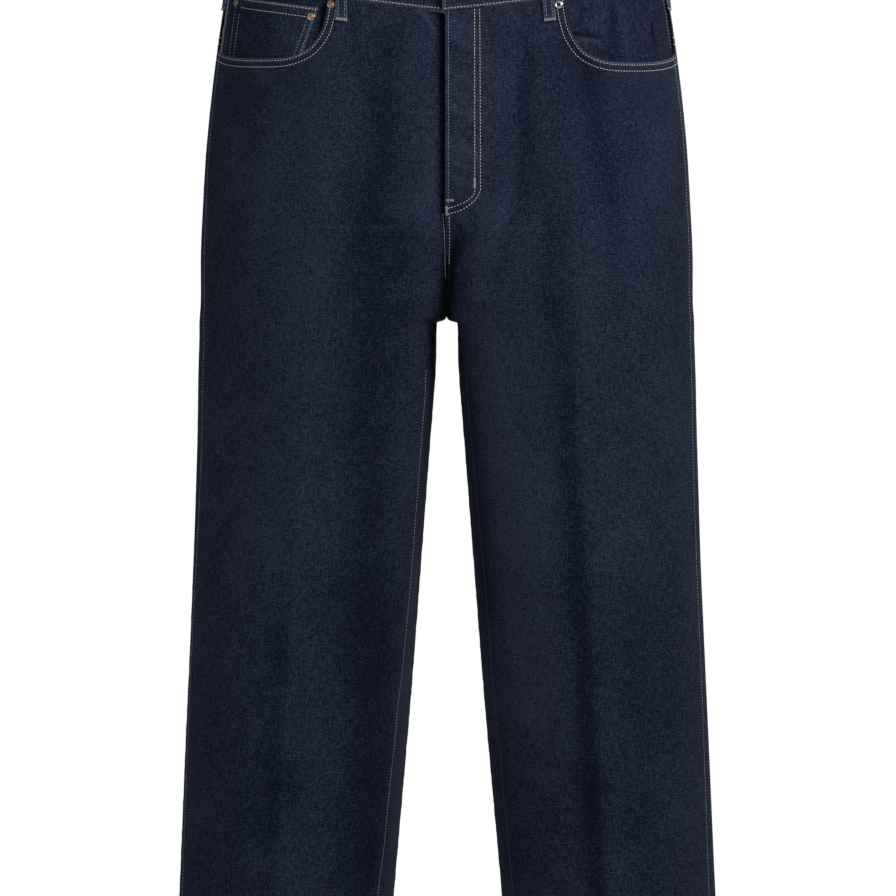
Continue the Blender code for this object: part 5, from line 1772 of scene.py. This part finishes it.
class JEANS_OT_metal(bpy.types.Operator):
    """Turns the rivets and the waist button and sets them"""

    bl_idname = "jeans.metal"
    bl_label = "Rivets and button"

    def execute(self, context):
        look = context.scene.jeans_metal
        copper = metal("copper_worn", look.copper, look.copper_stain, 0.34)
        nickel = metal("nickel_bright", look.nickel, look.nickel_stain, 0.24)
        # Painted shade: the eye in the nickel ring is the rivet post's copper, darkened nearly to black as the shade
        # of its hole.
        eye = metal("copper_dark", [0.2 * c for c in look.copper_stain], [0.1 * c for c in look.copper_stain], 0.5)
        spots = {LEFT: [], RIGHT: []}
        for rivet in RIVETS:
            at = np.array([rivet.p])
            point, normal = cloth_face(rivet.side, row_of_drop(rivet.side, at, rivet.drop * MM), at)
            spots[rivet.side].append((point + normal * (rivet.out * MM + LAYER_GAP * 0.5), normal))
        point, normal = band_face(LEFT, BAND_HEIGHT / 2, np.array([BUTTON_P]))
        button = [(point + normal * (BAND_PROUD + SEAM_GAP), normal)]
        nodes = {side: [rivet.name for rivet in RIVETS if rivet.side == side] for side in spots}
        for name, slot, profile, finish, spot, stands_for in (
            ("rivets_copper", "copper", RIVET_CAP, copper, spots[RIGHT], nodes[RIGHT]),
            ("rivet_nickel", "nickel", RIVET_RING, nickel, spots[LEFT], nodes[LEFT]),
            ("rivet_nickel_eye", "copper", RIVET_EYE, eye, spots[LEFT], None),
            ("button", "copper", BUTTON, copper, button, ["waist_button"]),
        ):
            unit = turned(name + "_unit", profile, finish)
            made = row_on(name, spot, trim_recipe(), Piece=unit, Finish=finish, Turn=TAU, Seed=5)
            bpy.data.objects.remove(unit, do_unlink=True)
            if stands_for:
                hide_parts(*stands_for)
            dressed(made)
        return {"FINISHED"}


class MetalLook(bpy.types.PropertyGroup):
    """The colours of the metal trim."""

    copper: tint("Copper", "Where it is rubbed bright", (0.56, 0.39, 0.32))
    copper_stain: tint("Copper, stained", "In its hollows", (0.20, 0.11, 0.08))
    nickel: tint("Nickel", "Where it is rubbed bright", (0.80, 0.78, 0.76))
    nickel_stain: tint("Nickel, stained", "In its hollows", (0.58, 0.57, 0.56))


# ---- The stage ----

CAMERA_PLACE = (0.0013, -3.5, -0.394)
SENSOR_WIDTH = 36  # millimetres
FRAME_PIXELS, FOCAL_PIXELS = 896, 3977
FLOOR_BELOW = 2 * MM
FLOOR_TONES = (0.78, 0.78, 0.78), (0.82, 0.82, 0.82)
FLOOR_RADIUS, FLOOR_SIDES = 2.2, 96
AMBIENT = 0.22  # of the white studio's own light
LAMPS = (
    ("key", (1.35, -1.15, 1.15), (0, 0, -0.30), 0.7, 46, (1.0, 0.98, 0.95)),
    ("fill", (-1.6, -2.6, 0.5), (0, 0, -0.35), 1.6, 22, (0.95, 0.97, 1.0)),
    ("back", (0.6, 2.6, 0.8), (0, 0, -0.4), 1.5, 45, (1.0, 1.0, 1.0)),
)


def light(name, place, aim, size, watts, tone):
    lamp = bpy.data.lights.new(name, "AREA")
    lamp.shape, lamp.size, lamp.energy, lamp.color = "DISK", size, watts, tone
    made = placed(name, lamp)
    made.location = place
    made.rotation_euler = (Vector(aim) - Vector(place)).to_track_quat("-Z", "Y").to_euler()


class JEANS_OT_stage(bpy.types.Operator):
    """Sets the pale floor, the soft lights and the camera"""

    bl_idname = "jeans.stage"
    bl_label = "Stage"

    def execute(self, context):
        disc = bmesh.new()
        bmesh.ops.create_circle(disc, cap_ends=True, radius=FLOOR_RADIUS, segments=FLOOR_SIDES)
        bmesh.ops.translate(disc, verts=disc.verts, vec=(0, 0, CAD_BOX[0][2] - FLOOR_BELOW))
        mesh = bpy.data.meshes.new("floor")
        disc.to_mesh(mesh)
        disc.free()
        finish = Finish("floor_finish", 0.7)
        cloud = finish.noise(finish.add("ShaderNodeTexCoord").outputs["Object"], (1 / 1.5,) * 3, 3.0)
        finish.paint(finish.blend(cloud, *map(colour, FLOOR_TONES)))
        mesh.materials.append(finish.material)
        placed("floor", mesh)

        world = bpy.data.worlds.new("studio")
        world.use_nodes = True
        sky = Nodes(world.node_tree)
        back = sky.tree.nodes["Background"].inputs
        back["Color"].default_value = (1, 1, 1, 1)
        ray = Wire(sky, sky.add("ShaderNodeLightPath").outputs["Is Camera Ray"])
        sky.join(ray * (1.0 - AMBIENT) + AMBIENT, back["Strength"])
        context.scene.world = world
        for lamp in LAMPS:
            light(*lamp)

        data = bpy.data.cameras.new("camera")
        data.sensor_width = SENSOR_WIDTH
        data.lens = SENSOR_WIDTH * FOCAL_PIXELS / FRAME_PIXELS
        data.clip_end = 50
        camera = placed("camera", data)
        camera.location = CAMERA_PLACE
        camera.rotation_euler = (math.pi / 2, 0, 0)
        context.scene.camera = camera
        context.scene.view_settings.view_transform = "Standard"
        return {"FINISHED"}


class JEANS_PT_panel(bpy.types.Panel):
    """The jeans' sizes, colours and steps"""

    bl_idname = "JEANS_PT_panel"
    bl_label = "Wide leg jeans"
    bl_space_type = "VIEW_3D"
    bl_region_type = "UI"
    bl_category = "Jeans"

    def draw(self, context):
        for group in GROUPS:
            settings = getattr(context.scene, group)
            for name in settings.__annotations__:
                self.layout.prop(settings, name)
        for step in STEPS:
            self.layout.operator(step.bl_idname)


GROUPS = {"jeans_denim": DenimLook, "jeans_sewing": SewingSizes, "jeans_metal": MetalLook}
STEPS = (
    JEANS_OT_legs,
    JEANS_OT_yokes,
    JEANS_OT_pockets,
    JEANS_OT_fly_shield,
    JEANS_OT_waistband,
    JEANS_OT_belt_loops,
    JEANS_OT_hems,
    JEANS_OT_sew_waist,
    JEANS_OT_sew_fly,
    JEANS_OT_sew_pockets,
    JEANS_OT_sew_legs,
    JEANS_OT_sew_loops,
    JEANS_OT_tacks,
    JEANS_OT_metal,
    JEANS_OT_stage,
)


def register():
    for group, kind in GROUPS.items():
        bpy.utils.register_class(kind)
        setattr(bpy.types.Scene, group, PointerProperty(type=kind))
    for kind in STEPS + (JEANS_PT_panel,):
        bpy.utils.register_class(kind)


def unregister():
    for kind in (JEANS_PT_panel,) + STEPS[::-1]:
        bpy.utils.unregister_class(kind)
    for group, kind in GROUPS.items():
        delattr(bpy.types.Scene, group)
        bpy.utils.unregister_class(kind)


def main():
    register()
    for step in STEPS:
        family, name = step.bl_idname.split(".")
        getattr(getattr(bpy.ops, family), name)()


if __name__ == "__main__":
    main()
